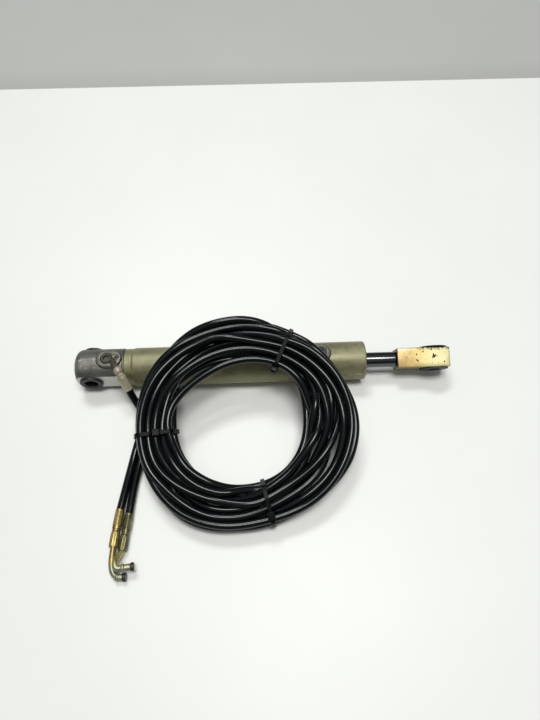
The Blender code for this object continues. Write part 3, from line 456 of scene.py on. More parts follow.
def catmull(pts, per=12):
    p = np.array(pts, float)
    p = np.vstack([2 * p[0] - p[1], p, 2 * p[-1] - p[-2]])
    out = []
    t = np.linspace(0, 1, per, endpoint=False)[:, None]
    for i in range(1, len(p) - 2):
        a, b, c, d = p[i - 1], p[i], p[i + 1], p[i + 2]
        out.append(0.5 * (2 * b + (c - a) * t + (2 * a - 5 * b + 4 * c - d) * t ** 2 + (3 * b - a - 3 * c + d) * t ** 3))
    out.append(p[-2][None])
    return np.vstack(out)


def even(p, ds):
    s = np.concatenate([[0], np.cumsum(np.linalg.norm(np.diff(p, axis=0), axis=1))])
    n = int(round(s[-1] / ds)) + 1
    t = np.linspace(0, s[-1], n)
    return np.stack([np.interp(t, s, p[:, k]) for k in range(3)], 1), s[-1]


def in_plane(a, r, h):
    a = np.radians(a)
    return ORG + r[:, None] * (np.cos(a)[:, None] * UU + np.sin(a)[:, None] * VV) + h[:, None] * NRM


def coil_points(names, a_from, a_to):
    nd = np.array(sorted(chain_nodes(names, PASS, 0)))
    a = np.arange(nd[0, 0], nd[-1, 0], 2.0)
    # smooth the node curves with a short window
    r = np.interp(a, nd[:, 0], nd[:, 1]); h = np.interp(a, nd[:, 0], nd[:, 2])
    k = np.hanning(13); k /= k.sum()
    pad = lambda v: np.convolve(np.concatenate([[v[0]] * 6, v, [v[-1]] * 6]), k, 'valid')
    r, h = pad(r), pad(h)
    keep = (a >= a_from) & (a <= a_to)
    return in_plane(a[keep], r[keep], h[keep])


def straight(a, b, d):
    a, b = np.array(a, float), np.array(b, float)
    return b + (b - a) / np.linalg.norm(b - a) * d


def build(ds=3.2):
    la = BASE_FER; lb = ROD_FER
    # A: enters at the left and winds six times; B: enters at the top and winds a little over five times
    ca = coil_points(A_CHAIN, -158, 360 * 5 + 146)
    cb = coil_points(B_CHAIN, -170, 360 * 4 + 148)
    headA = [straight(*la, -9), straight(*la, -5), straight(*la, -1), straight(*la, 2.5)] + A_START
    # B's first stretch crosses under the coil from the back to its inner lower pass
    ang = np.array([112., 124, 136, 148, 160, 172]); rr = np.array([59.5, 57.8, 55, 51.6, 48, 45.2]); hh = np.array([-5.6, -6.8, -6.9, -5.8, -4.2, -3.0])
    bridge = in_plane(ang - 360 + 0.0, rr, hh)
    headB = [straight(*lb, -9), straight(*lb, -5), straight(*lb, -1), straight(*lb, 2.5)] + B_START + [tuple(q) for q in bridge]
    A = catmull(headA + [tuple(q) for q in ca[::4]] + END_A, 10)
    B = catmull(headB + [tuple(q) for q in cb[::4]] + END_B, 10)
    out = []
    for P in (A, B):
        q, L = even(P, ds)
        out.append(q)
    return out


def solve(hoses, iters=700, d0=4.74, attract=0.03, log=None):
    P = np.vstack(hoses).astype(float)
    sizes = [len(h) for h in hoses]
    start = [0, sizes[0]]
    hid = np.concatenate([np.full(n, k) for k, n in enumerate(sizes)])
    idx = np.arange(len(P))
    home = P.copy()
    fixed = np.zeros(len(P), bool)
    w_home = np.full(len(P), attract)
    # height above the coil plane: deep points are free, top ones are held near the traced lines
    h0 = (home - ORG) @ NRM
    w_home[h0 < 0] = attract * 0.15
    for k, n in enumerate(sizes):
        tail = start[k] + n - 1 - np.arange(28)
        w_home[tail] = np.linspace(0.14, 0.03, 28)
    for k, n in enumerate(sizes):
        s = start[k]
        L = np.concatenate([[0], np.cumsum(np.linalg.norm(np.diff(P[s:s + n], axis=0), axis=1))])
        fixed[s:s + n] |= (L < 12.5) | (L > L[-1] - 9)
    rest = []
    for k, n in enumerate(sizes):
        s = start[k]
        rest.append(np.linalg.norm(np.diff(P[s:s + n], axis=0), axis=1).mean())
    mv = np.where(fixed, 0.0, 1.0)
    free = np.ones(len(P))
    for k, n in enumerate(sizes):
        s = start[k]
        m = np.arange(n) * rest[k]
        free[s:s + n] = np.clip((m - 45) / 20, 0, 1) * np.clip((m[-1] - m - 62) / 20, 0, 1)
    IN_COIL["w"] = free
    pi = pj = None
    for it in range(iters):
        late = it > iters * 0.75
        # stiffness: fourth-order smoothing along each hose
        for rep in range(2):
            for k, n in enumerate(sizes):
                s = start[k]
                Q = P[s:s + n]
                c = (-Q[:-4] + 4 * Q[1:-3] + 4 * Q[3:-1] - Q[4:]) / 6 - Q[2:-2]
                Q[2:-2] += c * (0.45 * mv[s + 2:s + n - 2, None])
        # the traced lines
        ka = w_home * mv * (0.15 if late else 1.0)
        P += (home - P) * ka[:, None]
        # length
        for rep in range(3):
            for k, n in enumerate(sizes):
                s = start[k]
                Q = P[s:s + n]
                for par in (0, 1):
                    a = np.arange(par, n - 1, 2); b = a + 1
                    v = Q[b] - Q[a]; l = np.linalg.norm(v, axis=1)
                    wa, wb = mv[s + a], mv[s + b]
                    ws = np.maximum(wa + wb, 1e-9)
                    e = ((l - rest[k]) / np.maximum(l, 1e-9))[:, None] * v * 0.8
                    Q[a] += e * (wa / ws)[:, None]; Q[b] -= e * (wb / ws)[:, None]
        # contact between strands
        if it % 8 == 0:
            pi, pj = pairs(P, hid, d0 + 3.0)
        for rep in range(3):
            v = P[pj] - P[pi]; l = np.linalg.norm(v, axis=1)
            m = l < d0
            if m.any():
                a, b, vv, ll = pi[m], pj[m], v[m], np.maximum(l[m], 1e-6)
                push = ((d0 - ll) / ll)[:, None] * vv * 0.5
                acc = np.zeros_like(P); cnt = np.zeros(len(P))
                for c in range(3):
                    acc[:, c] -= np.bincount(a, push[:, c], len(P)); acc[:, c] += np.bincount(b, push[:, c], len(P))
                cnt += np.bincount(a, minlength=len(P)); cnt += np.bincount(b, minlength=len(P))
                P += acc / np.maximum(cnt, 1)[:, None] * 1.3 * mv[:, None]
            walls(P, mv, it / iters)
    return P, sizes, fixed


def pairs(P, hid, reach):
    n = len(P)
    I, J = [], []
    for s in range(0, n, 256):
        a = P[s:s + 256]
        d2 = ((a[:, None, :] - P[None, :, :]) ** 2).sum(2)
        i, j = np.nonzero(d2 < reach * reach)
        i = i + s
        ok = (j > i) & ~((hid[i] == hid[j]) & (j - i < 5))
        I.append(i[ok]); J.append(j[ok])
    return np.concatenate(I), np.concatenate(J)


def walls(P, mv, t):
    R = D_HOSE / 2
    # table
    low = R + 0.05 - P[:, 2]
    m = low > 0
    P[m, 2] += (low * mv)[m]
    # cylinder tube and base cap
    x = P[:, 0]
    on = (x > -121) & (x < 66)
    y, z = P[:, 1], P[:, 2] - 12.5
    d = np.hypot(y, z)
    m = on & (d < 12.5 + R + 0.1) & (mv > 0)
    k = (12.5 + R + 0.1) / np.maximum(d[m], 1e-6)
    P[m, 1] = y[m] * k; P[m, 2] = 12.5 + z[m] * k
    # rod-side port plate, screw and pipe
    m = (x > 27.3 - R) & (x < 43.1 + R) & (np.abs(P[:, 1]) < 5.8 + 1.5) & (P[:, 2] > 20) & (P[:, 2] < 27.6 + R) & (mv > 0)
    P[m, 2] = 27.6 + R
    q = P - np.array([28.8, 7.0, 25.85]); d = np.linalg.norm(q, axis=1)
    m = (d < 1.85 + R + 0.3) & (mv > 0)
    P[m] += q[m] / np.maximum(d[m], 1e-6)[:, None] * (1.85 + R + 0.3 - d[m])[:, None]
    # rod-side ferrule
    a, b = np.array(ROD_FER[0]), np.array(ROD_FER[1]); ab = b - a
    s = np.clip(((P - a) @ ab) / (ab @ ab), 0, 1)
    q = P - (a + s[:, None] * ab); d = np.linalg.norm(q, axis=1)
    m = (d < 3.15 + R + 0.1) & (mv > 0)
    P[m] += q[m] / np.maximum(d[m], 1e-6)[:, None] * (3.15 + R + 0.1 - d[m])[:, None]
    # the bundle keeps to its own thickness
    q = P - ORG
    h = q @ NRM
    m = (h > 4.6) & (mv > 0)
    P[m] -= NRM * ((h[m] - 4.6) * 0.5)[:, None]
    # and to its outline: the bound depends on the angle round the coil
    u, v = q @ UU, q @ VV - 0.225 * (4.0 - h)
    r = np.maximum(np.hypot(u, v), 1e-6)
    ang = np.degrees(np.arctan2(v, u))
    lo = np.interp(ang, EDGE_IN[:, 0], EDGE_IN[:, 1]) + R
    hi = np.interp(ang, EDGE_OUT[:, 0], EDGE_OUT[:, 1]) - R
    k = np.where(r < lo, (lo - r) * 0.5, np.where(r > hi + 0.5, (hi + 0.5 - r) * 0.12, 0.0)) * mv * IN_COIL["w"]
    P += ((u / r)[:, None] * UU + (v / r)[:, None] * VV) * k[:, None]


IN_COIL = {"w": 1.0}
EDGE_IN = np.array([(-180, 40.9), (-165, 41.4), (-150, 41.3), (-140, 39.4), (-130, 38.3), (-115, 37.2), (-100, 36.9), (-80, 36.6), (-60, 36.0),
                    (-40, 35.4), (-20, 34.9), (0, 34.7), (15, 35.8), (30, 38), (42, 39.4), (60, 39.2), (70, 38.5), (80, 37.5), (95, 36.5),
                    (115, 36.0), (130, 36.5), (145, 38), (160, 39.5), (170, 40.3), (180, 40.9)], float)
EDGE_OUT = np.array([(-180, 67.1), (-165, 67.0), (-150, 66.2), (-135, 66.8), (-125, 66.9), (-115, 65.5), (-105, 63.6), (-95, 61.8), (-80, 61.0),
                     (-70, 60.7), (-55, 61.0), (-45, 62.2), (-35, 64.2), (-20, 67), (-5, 68.1), (5, 67.8), (15, 66.2), (25, 65.0), (50, 64.5),
                     (65, 63.9), (72, 64.2), (82, 66), (95, 67.8), (105, 68.2), (120, 67.8), (135, 66.4), (150, 67), (165, 67.6), (180, 67.1)], float)



strands = build()
POS, COUNTS, _ = solve(strands, iters=700)
HOSE_PTS = {"a": POS[:COUNTS[0]], "b": POS[COUNTS[0]:]}


def hose_curve(name, pts, mat):
    """A hose: one open spline through its centre line, with a round section."""
    cu = bpy.data.curves.new(name, 'CURVE')
    cu.dimensions = '3D'
    cu.bevel_depth = 2.35 * MM
    cu.bevel_resolution = 7
    cu.use_fill_caps = True
    sp = cu.splines.new('POLY')
    sp.points.add(len(pts) - 1)
    flat = np.ones((len(pts), 4))
    flat[:, :3] = pts * MM
    sp.points.foreach_set("co", flat.ravel())
    sp.use_smooth = True
    cu.materials.append(mat)
    ob = bpy.data.objects.new(name, cu)
    looks.objects.link(ob)
    return ob


def finer(p, ds=1.9):
    q = catmull(p, 4)
    return even(q, ds)[0]


hoses = {}
for tag in "ab":
    hoses[tag] = hose_curve("hose_" + tag, finer(HOSE_PTS[tag]), MAT["black_hose"])


def run_length(p):
    return float(np.linalg.norm(np.diff(p, axis=0), axis=1).sum())


# ---------------------------------------------------------------- mesh helpers
def link(name, me, mat=None, angle=32.0):
    ob = bpy.data.objects.new(name, me)
    looks.objects.link(ob)
    if mat is not None:
        me.materials.clear()
        me.materials.append(mat)
    me.shade_smooth()
    me.set_sharp_from_angle(angle=math.radians(angle))
    return ob


def applied(ob, angle=32.0):
    """Bakes the modifiers into the mesh."""
    bpy.context.view_layer.update()
    dg = bpy.context.evaluated_depsgraph_get()
    me = bpy.data.meshes.new_from_object(ob.evaluated_get(dg))
    ob.modifiers.clear()
    ob.data = me
    me.shade_smooth()
    me.set_sharp_from_angle(angle=math.radians(angle))
    return ob


def axes_for(direction):
    w = Vector(direction).normalized()
    if abs(w.x) > 0.9999:
        u, v = Vector((0, 1, 0)), Vector((0, 0, 1)) * (1 if w.x > 0 else -1)
    else:
        u = Vector((0, 0, 1)).cross(w) if abs(w.z) < 0.95 else Vector((0, 1, 0)).cross(w)
        u.normalize()
        v = w.cross(u)
    return u, v, w


def rounded(pts, r=0.25, steps=4, closed=False):
    """Rounds the corners of a profile.  A point may carry its own radius."""
    out = []
    n = len(pts)
    for i, p in enumerate(pts):
        rr = p[2] if len(p) > 2 else r
        if (not closed and i in (0, n - 1)) or rr <= 0:
            out.append((p[0], p[1]))
            continue
        a = np.array(pts[i - 1][:2], float)
        b = np.array(p[:2], float)
        c = np.array(pts[(i + 1) % n][:2], float)
        la, lc = np.linalg.norm(a - b), np.linalg.norm(c - b)
        if la < 1e-6 or lc < 1e-6:
            continue
        d = min(rr, la * 0.45, lc * 0.45)
        p0, p1 = b + (a - b) / la * d, b + (c - b) / lc * d
        for k in range(steps + 1):
            t = k / steps
            q = (1 - t) ** 2 * p0 + 2 * t * (1 - t) * b + t * t * p1
            out.append((float(q[0]), float(q[1])))
    return out


def lathe(name, profile, mat, origin=(0, 0, 12.5), direction=(1, 0, 0), seg=96, shape=None, angle=32.0):
    """Turned piece.  profile: (radius, height) in mm; a ring unless it starts and
    ends on radius 0.  shape(theta, r, h) may vary the radius round the axis."""
    o = Vector(origin)
    u, v, w = axes_for(direction)
    solid = profile[0][0] == 0 and profile[-1][0] == 0
    bm = bmesh.new()
    rows = []
    for r, h in profile:
        if r == 0:
            rows.append([bm.verts.new((o + w * h) * MM)] * seg)
            continue
        row = []
        for k in range(seg):
            t = 2 * math.pi * k / seg
            rr = shape(t, r, h) if shape else r
            row.append(bm.verts.new((o + w * h + (u * math.cos(t) + v * math.sin(t)) * rr) * MM))
        rows.append(row)
    n = len(rows)
    for i in range(n - 1 if solid else n):
        a, b = rows[i], rows[(i + 1) % n]
        for k in range(seg):
            q = [a[k], a[(k + 1) % seg], b[(k + 1) % seg], b[k]]
            face = []
            for x in q:
                if x not in face:
                    face.append(x)
            if len(face) > 2:
                bm.faces.new(face)
    bmesh.ops.recalc_face_normals(bm, faces=bm.faces)
    me = bpy.data.meshes.new(name)
    bm.to_mesh(me)
    bm.free()
    return link(name, me, mat, angle)


def frames_along(p):
    """Parallel frames along a polyline."""
    p = [Vector(q) for q in p]
    tan = [(p[min(i + 1, len(p) - 1)] - p[max(i - 1, 0)]).normalized() for i in range(len(p))]
    n = tan[0].orthogonal().normalized()
    out = []
    for i, t in enumerate(tan):
        if i:
            n = (n - t * n.dot(t)).normalized()
        out.append((p[i], n, t.cross(n).normalized(), t))
    return out


def sweep(name, path, radius, mat, seg=40, bore=None, depth=5.0, angle=40.0, step=0.4, shape=None, cut_to=None):
    """A round bar or pipe along a smooth path (mm).  radius: number or function of
    the distance run.  bore opens the far end."""
    pts = even(catmull(path, 16), step)[0]
    if cut_to:
        pts = pts[int(cut_to[0] / step):int(cut_to[1] / step) + 1]
    fr = frames_along(pts)
    bm = bmesh.new()
    rings = []
    run = 0.0
    total = run_length(pts)
    for i, (c, n, b, t) in enumerate(fr):
        if i:
            run += (c - fr[i - 1][0]).length
        r = radius(run, total) if callable(radius) else radius
        rings.append([bm.verts.new((c + (n * math.cos(a) + b * math.sin(a)) * (shape(a, run, r) if shape else r)) * MM)
                      for a in (2 * math.pi * k / seg for k in range(seg))])
    for a, b in zip(rings, rings[1:]):
        for k in range(seg):
            bm.faces.new((a[k], a[(k + 1) % seg], b[(k + 1) % seg], b[k]))
    bm.faces.new(rings[0][::-1])
    if bore:
        c, n, b, t = fr[-1]
        edge = rings[-1]
        r_end = radius(total, total) if callable(radius) else radius
        prof = [(r_end - 0.12, 0.10), (bore + 0.12, 0.10), (bore, 0.0), (bore, -depth)]
        last = edge
        for r, h in prof:
            ring = [bm.verts.new((c + t * h + (n * math.cos(a) + b * math.sin(a)) * r) * MM)
                    for a in (2 * math.pi * k / seg for k in range(seg))]
            for k in range(seg):
                bm.faces.new((last[k], last[(k + 1) % seg], ring[(k + 1) % seg], ring[k]))
            last = ring
        bm.faces.new(last)
    else:
        bm.faces.new(rings[-1])
    bmesh.ops.recalc_face_normals(bm, faces=bm.faces)
    me = bpy.data.meshes.new(name)
    bm.to_mesh(me)
    bm.free()
    return link(name, me, mat, angle)


def rounded_box(name, size, mat, r=0.4, seg=4, matrix=None):
    bm = bmesh.new()
    bmesh.ops.create_cube(bm, size=1.0)
    bmesh.ops.scale(bm, vec=Vector(size) * MM, verts=bm.verts)
    bmesh.ops.bevel(bm, geom=list(bm.edges), offset=r * MM, segments=seg, profile=0.5, affect='EDGES', clamp_overlap=True)
    me = bpy.data.meshes.new(name)
    bm.to_mesh(me)
    bm.free()
    ob = link(name, me, mat)
    if matrix is not None:
        me.transform(matrix)
    return ob


def cutter(kind, **kw):
    """A shape used only to cut another."""
    bm = bmesh.new()
    if kind == 'round':
        bmesh.ops.create_cone(bm, cap_ends=True, segments=kw.get("sides", 64), radius1=kw["r"] * MM,
                              radius2=kw.get("r2", kw["r"]) * MM, depth=kw["length"] * MM)
        u, v, w = axes_for(kw["direction"])
        m = Matrix((u, v, w)).transposed().to_4x4()
        m.translation = Vector(kw["centre"]) * MM
        bmesh.ops.transform(bm, matrix=m, verts=bm.verts)
    elif kind == 'box':
        bmesh.ops.create_cube(bm, size=1.0)
        bmesh.ops.scale(bm, vec=Vector(kw["size"]) * MM, verts=bm.verts)
        if kw.get("soft"):
            bmesh.ops.bevel(bm, geom=list(bm.edges), offset=kw["soft"] * MM, segments=4, profile=0.5, affect='EDGES')
        m = (kw.get("rot") or Matrix.Identity(3)).to_4x4()
        m.translation = Vector(kw["centre"]) * MM
        bmesh.ops.transform(bm, matrix=m, verts=bm.verts)
    elif kind == 'ball':
        bmesh.ops.create_icosphere(bm, subdivisions=3, radius=kw["r"] * MM)
        bmesh.ops.scale(bm, vec=kw.get("squash", (1, 1, 1)), verts=bm.verts)
        bmesh.ops.translate(bm, vec=Vector(kw["centre"]) * MM, verts=bm.verts)
    elif kind == 'plate':
        prof = stadium_outline(kw["length"], kw["width"], kw.get("sides", 28))
        lo = [bm.verts.new((Vector((x, y, kw["z0"])) + Vector((kw["centre"][0], kw["centre"][1], 0))) * MM) for x, y in prof]
        hi = [bm.verts.new((Vector((x, y, kw["z1"])) + Vector((kw["centre"][0], kw["centre"][1], 0))) * MM) for x, y in prof]
        k = len(prof)
        for i in range(k):
            bm.faces.new((lo[i], lo[(i + 1) % k], hi[(i + 1) % k], hi[i]))
        bm.faces.new(lo[::-1])
        bm.faces.new(hi)
        bmesh.ops.recalc_face_normals(bm, faces=bm.faces)
    me = bpy.data.meshes.new("cut")
    bm.to_mesh(me)
    bm.free()
    if kw.get("mat") is not None:
        me.materials.append(kw["mat"])
    return bpy.data.objects.new("cut", me)


def cut(ob, *tools, op='DIFFERENCE'):
    for t in tools:
        scene.collection.objects.link(t)
        m = ob.modifiers.new("cut", 'BOOLEAN')
        m.operation = op
        m.solver = 'EXACT'
        m.object = t
        m.material_mode = 'TRANSFER'
    applied(ob)
    for t in tools:
        bpy.data.objects.remove(t, do_unlink=True)
    return ob


def soften(ob, width=0.2, seg=3, angle=40.0):
    m = ob.modifiers.new("edge", 'BEVEL')
    m.width = width * MM
    m.segments = seg
    m.limit_method = 'ANGLE'
    m.angle_limit = math.radians(angle)
    m.harden_normals = False
    m.use_clamp_overlap = True
    return applied(ob, 30.0)


def stadium_outline(length, width, sides=28):
    r = width / 2
    h = length / 2 - r
    out = []
    for k in range(sides + 1):
        a = -math.pi / 2 + math.pi * k / sides
        out.append((h + r * math.cos(a), r * math.sin(a)))
    for k in range(sides + 1):
        a = math.pi / 2 + math.pi * k / sides
        out.append((-h + r * math.cos(a), r * math.sin(a)))
    return out


def put(ob, body, slot, *nodes):
    """Rides on a body and stands for CAD nodes, which it hides."""
    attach(ob, body)
    if nodes:
        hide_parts(*nodes)
    return ob


# ---------------------------------------------------------------- cylinder tube
X0, X1 = -89.3, 65.9
tube = lathe("cylinder_tube_shell", rounded([
    (10.0, X0, 0.2), (12.0, X0, 0.45), (12.0, X0 + 4.9, 0.5), (12.5, X0 + 5.7, 0.5), (12.5, X1 - 0.01, 1.05),
    (8.4, X1, 0.3), (8.4, X1 - 1.2, 0.1), (10.0, X1 - 1.2, 0.1), (10.0, X1 - 3.8, 0), (10.6, X1 - 3.8, 0),
    (10.6, X1 - 6.0, 0), (10.0, X1 - 6.0, 0)], steps=6, closed=True), MAT["olive_chromate"], seg=192)
cut(tube,
    cutter('plate', length=16.5, width=12.3, z0=23.2, z1=30.0, centre=(35.2, 0), mat=MAT["clamp_plate"]),
    cutter('round', r=1.6, length=6.0, centre=(31.8, 0, 23.0), direction=(0, 0, 1), sides=32),
    cutter('box', size=(4.2, 3.4, 1.5), soft=0.6, centre=(61.6, -11.62, 17.95),
           rot=Matrix.Rotation(math.radians(66), 3, 'X'), mat=MAT["olive_chromate"]),
    cutter('box', size=(2.6, 6.6, 0.9), soft=0.3, centre=(-87.2, -1.5, 24.72),
           rot=Matrix.Rotation(math.radians(7), 3, 'X'), mat=MAT["olive_chromate"]))
put(tube, "barrel", "olive_chromate", "cylinder_tube")

# ---------------------------------------------------------------- base cap
CX0 = -121.4
prof = [(0, CX0), (7.4, CX0)]
for k in range(1, 12):
    a = math.pi / 2 * k / 12
    prof.append((12.4 - 5 + 5 * math.sin(a), CX0 + 5 - 5 * math.cos(a)))
prof += [(12.4, CX0 + 5), (12.4, -106.9), (12.4, -106.7), (12.4, -90.75), (12.2, -90.35), (11.55, -90.25), (11.5, -89.6), (9.7, -89.6), (9.7, -84.6), (8.2, -84.6), (8.2, -82.2), (9.7, -82.2), (9.7, -77.7),
         (9.1, -77.1), (6.5, -77.1), (6.5, -83.4), (2.4, -83.4), (2.4, -101.2), (0, -101.2)]


def parting(t, r, h):
    """Casting seam along the top and bottom of the cap, and its slight waviness."""
    if r < 6 or h > -89.7:
        return r
    seam = max(math.exp(-((math.degrees(t) - d) / 1.6) ** 2) for d in (94.0, 274.0))
    return r + (0.14 * seam if h < -106 else 0.0) - 0.03 + 0.03 * math.sin(3 * t + h * 0.21) * math.sin(2.1 * t - h * 0.13)


cap = lathe("base_cap_casting", prof, MAT["grey_casting"], seg=240, shape=parting)
# the die's joint line: the far side of the eye end stands a little proud
for vert in cap.data.vertices:
    y, z, x = vert.co.y / MM, vert.co.z / MM - 12.5, vert.co.x / MM
    if z > 0 and y > 0.75 and -120.2 < x < -106.8 and math.hypot(y, z) > 9:
        k = 1.0 + 0.17 * min(1.0, (12.4 - y) / 5.0) / math.hypot(y, z)
        vert.co.y, vert.co.z = y * k * MM, (12.5 + z * k) * MM
flats = [cutter('box', size=(32.0, 10.0, 40.0), centre=(CX0 + 13.6, s * 15.0, 12.5), mat=MAT["machined_flat"]) for s in (-1, 1)]
cut(cap, *flats)
cut(cap,
    cutter('round', r=5.5, length=40.0, centre=(-111.6, 0, 12.5), direction=(0, 1, 0), sides=72, mat=MAT["machined_flat"]),
    cutter('plate', length=16.5, width=12.3, z0=22.7, z1=30.0, centre=(-98.6, 0), mat=MAT["grey_casting"]),
    cutter('round', r=1.6, length=10.0, centre=(-95.2, 0, 18.5), direction=(0, 0, 1), sides=32, mat=MAT["machined_flat"]),
    cutter('round', r=2.3, length=7.3, centre=(-100.0, 0, 19.55), direction=(0, 0, 1), sides=40, mat=MAT["machined_flat"]))
soften(cap, 0.28, 3, 42)
put(cap, "barrel", "grey_casting", "base_cap")

for nm, s in (("front", -1), ("rear", 1)):
    b = lathe("eye_bush_%s_ring" % nm, rounded([
        (4.15, 2.0, 0.1), (5.2, 2.0, 0.2), (5.2, 10.3, 0), (7.3, 10.3, 0.1), (7.3, 11.6, 0.45), (5.1, 11.6, 0.3), (4.9, 11.35, 0.2), (4.15, 11.35, 0.35)],
        steps=5, closed=True), MAT["black_plastic"], origin=(-111.6, 0, 12.5), direction=(0, s, 0), seg=96)
    put(b, "barrel", "black_plastic", "eye_bush_" + nm)


# ---------------------------------------------------------------- port fittings
SHELL = [(0.0, 2.25), (0.15, 2.40), (1.4, 2.45), (2.3, 2.72), (2.7, 2.82), (3.6, 2.86), (8.0, 2.88)]
COLLAR = [(0.0, 2.05), (0.15, 2.30), (0.7, 2.70), (1.0, 2.82), (2.4, 2.86), (2.9, 2.72), (3.4, 2.40), (3.9, 2.15), (4.2, 2.1)]


def port(tag, cx, z0, neck, side, fer, neck_r, body="barrel"):
    z1 = z0 + 2.9
    me = bpy.data.meshes.new(tag)
    bm = bmesh.new()
    prof = stadium_outline(15.8, 11.6, 36)
    rows = []
    for inset, z in ((0.25, z0), (0, z0 + 0.25), (0, z1 - 0.75), (0.1, z1 - 0.38), (0.35, z1 - 0.1), (0.75, z1)):
        q = stadium_outline(15.8 - 2 * inset, 11.6 - 2 * inset, 36)
        rows.append([bm.verts.new(((cx + x) * MM, y * MM, z * MM)) for x, y in q])
    k = len(prof)
    for a, b in zip(rows, rows[1:]):
        for i in range(k):
            bm.faces.new((a[i], a[(i + 1) % k], b[(i + 1) % k], b[i]))
    bm.faces.new(rows[0][::-1])
    bm.faces.new(rows[-1])
    bmesh.ops.recalc_face_normals(bm, faces=bm.faces)
    bmesh.ops.remove_doubles(bm, verts=bm.verts, dist=1e-7)
    bm.to_mesh(me)
    bm.free()
    plate = link(tag + "_clamp_plate", me, MAT["clamp_plate"])
    sx, px = cx - 1.4 * side, cx + 3.4 * side
    # painted shade: the walls of the counterbore and the holes take the near-black recess colour
    cut(plate,
        cutter('round', r=3.9, length=3.0, centre=(sx, 0, z0 + 2.7), direction=(0, 0, 1), sides=64, mat=MAT["dark_pits_and_recess_shade"]),
        cutter('round', r=2.6, length=8.0, centre=(sx, 0, z0), direction=(0, 0, 1), sides=48, mat=MAT["dark_pits_and_recess_shade"]),
        cutter('round', r=2.05, length=0.6, centre=(cx + 4.5 * side, 0.7, z1 + 0.02), direction=(0, 0, 1), sides=40, mat=MAT["clamp_plate"]),
        cutter('round', r=0.8, length=2.2, centre=(cx + 4.5 * side, 0.7, z1 - 0.3), direction=(0, 0, 1), sides=24, mat=MAT["dark_pits_and_recess_shade"]))
    soften(plate, 0.14, 2, 45)
    put(plate, body, "grey_casting", tag + "_port_flange")
    pipe = sweep(tag + "_port_pipe", neck, neck_r, MAT["neck_dark"], seg=48)
    put(pipe, body, "grey_casting")
    # socket screw
    hz = z0 + 1.5
    # painted shade: the bright-steel screw is given the near-black recess colour
    scr = lathe(tag + "_socket_screw", rounded([
        (0, hz - (7.0 if tag == "base" else 1.3)), (1.7, hz - (7.0 if tag == "base" else 1.3)), (2.0, hz - 1.0, 0.05), (2.0, hz, 0.1),
        (3.6, hz, 0.1), (3.6, hz + 1.45, 0.3), (3.2, hz + 1.8, 0.2), (2.55, hz + 1.8, 0.1), (2.3, hz + 1.6, 0.05), (0, hz + 1.6)], steps=4),
        MAT["dark_pits_and_recess_shade"], origin=(sx, 0, 0), direction=(0, 0, 1), seg=144,
        shape=lambda t, r, h: r - (0.07 * (0.5 + 0.5 * math.cos(36 * t)) if r > 3.45 else 0.0))
    cut(scr, cutter('round', r=4.0 / math.sqrt(3), length=2.8, centre=(sx, 0, hz + 1.8), direction=(0, 0, 1), sides=6, mat=MAT["dark_pits_and_recess_shade"]))
    put(scr, body, "bright_steel", tag + "_port_screw")
    # collar and crimped shell on the hose: one bent axis, two pieces
    axis = [Vector(q) for q in fer]
    whole = run_length(np.array(even(catmull(fer, 16), 0.16)[0]))
    ln = whole - 4.1

    def shell_r(run, total):
        h = run
        for (h0, r0), (h1, r1) in zip(SHELL, SHELL[1:]):
            if h <= h1:
                return r0 + (r1 - r0) * (h - h0) / max(h1 - h0, 1e-6)
        left = total - run
        return 2.95 - 0.5 * max(0.0, 0.30 - left) if left < 0.9 else 2.88

    def crimp(a, run, r):
        if run < 2.9 or run > ln - 0.9:
            return r
        return r - 0.20 * (0.5 + 0.5 * math.cos(8 * a)) ** 1.5 * min(1.0, (run - 2.9) / 0.4)

    def collar_r(run, total):
        for (h0, r0), (h1, r1) in zip(COLLAR, COLLAR[1:]):
            if run <= h1:
                return r0 + (r1 - r0) * (run - h0) / max(h1 - h0, 1e-6)
        return COLLAR[-1][1]

    shell = sweep(tag + "_crimped_ferrule", fer, shell_r, MAT["beige_plating"], seg=96, step=0.16, shape=crimp, cut_to=(4.1, whole))
    collar = sweep(tag + "_ferrule_collar", fer, collar_r, MAT["beige_collar"], seg=96, step=0.16, cut_to=(0.0, 4.1),
                   shape=lambda a, run, r: r - (0.14 * (0.5 + 0.5 * math.cos(6 * a)) if r > 2.6 else 0))
    put(shell, body, "beige_plating", tag + "_ferrule")
    put(collar, body, "beige_plating")
    return shell, collar


base_shell, base_collar = port("base", -98.6, 23.0, [
    (-96.2, -0.4, 23.8), (-95.8, -1.8, 24.5), (-95.1, -3.4, 25.0), (-94.2, -5.2, 25.6), (-93.2, -6.9, 26.0), (-92.2, -8.4, 26.2), (-91.5, -9.4, 26.1),
    (-90.9, -10.4, 25.5), (-90.3, -11.5, 24.2)], 1,
    [(-92.6, -7.7, 26.2), (-91.7, -9.05, 26.1), (-90.9, -10.4, 25.6), (-90.1, -11.7, 24.5), (-89.15, -13.3, 22.38), (-87.9, -15.42, 19.32), BASE_FER[1]], 2.2)
rod_shell, rod_collar = port("rod", 35.2, 23.5, [
    (32.3, 0.6, 25.2), (31.9, 1.8, 25.4), (30.9, 4.4, 25.65), (28.8, 7.0, 25.85), (26.0, 8.9, 25.6), (22.9, 10.2, 25.05), (21.6, 10.66, 24.8)],
    -1, [(24.9, 9.45, 25.35), (22.6, 10.3, 25.0), (19.2, 11.53, 24.33), (15.8, 12.77, 23.67), ROD_FER[1]], 1.95)

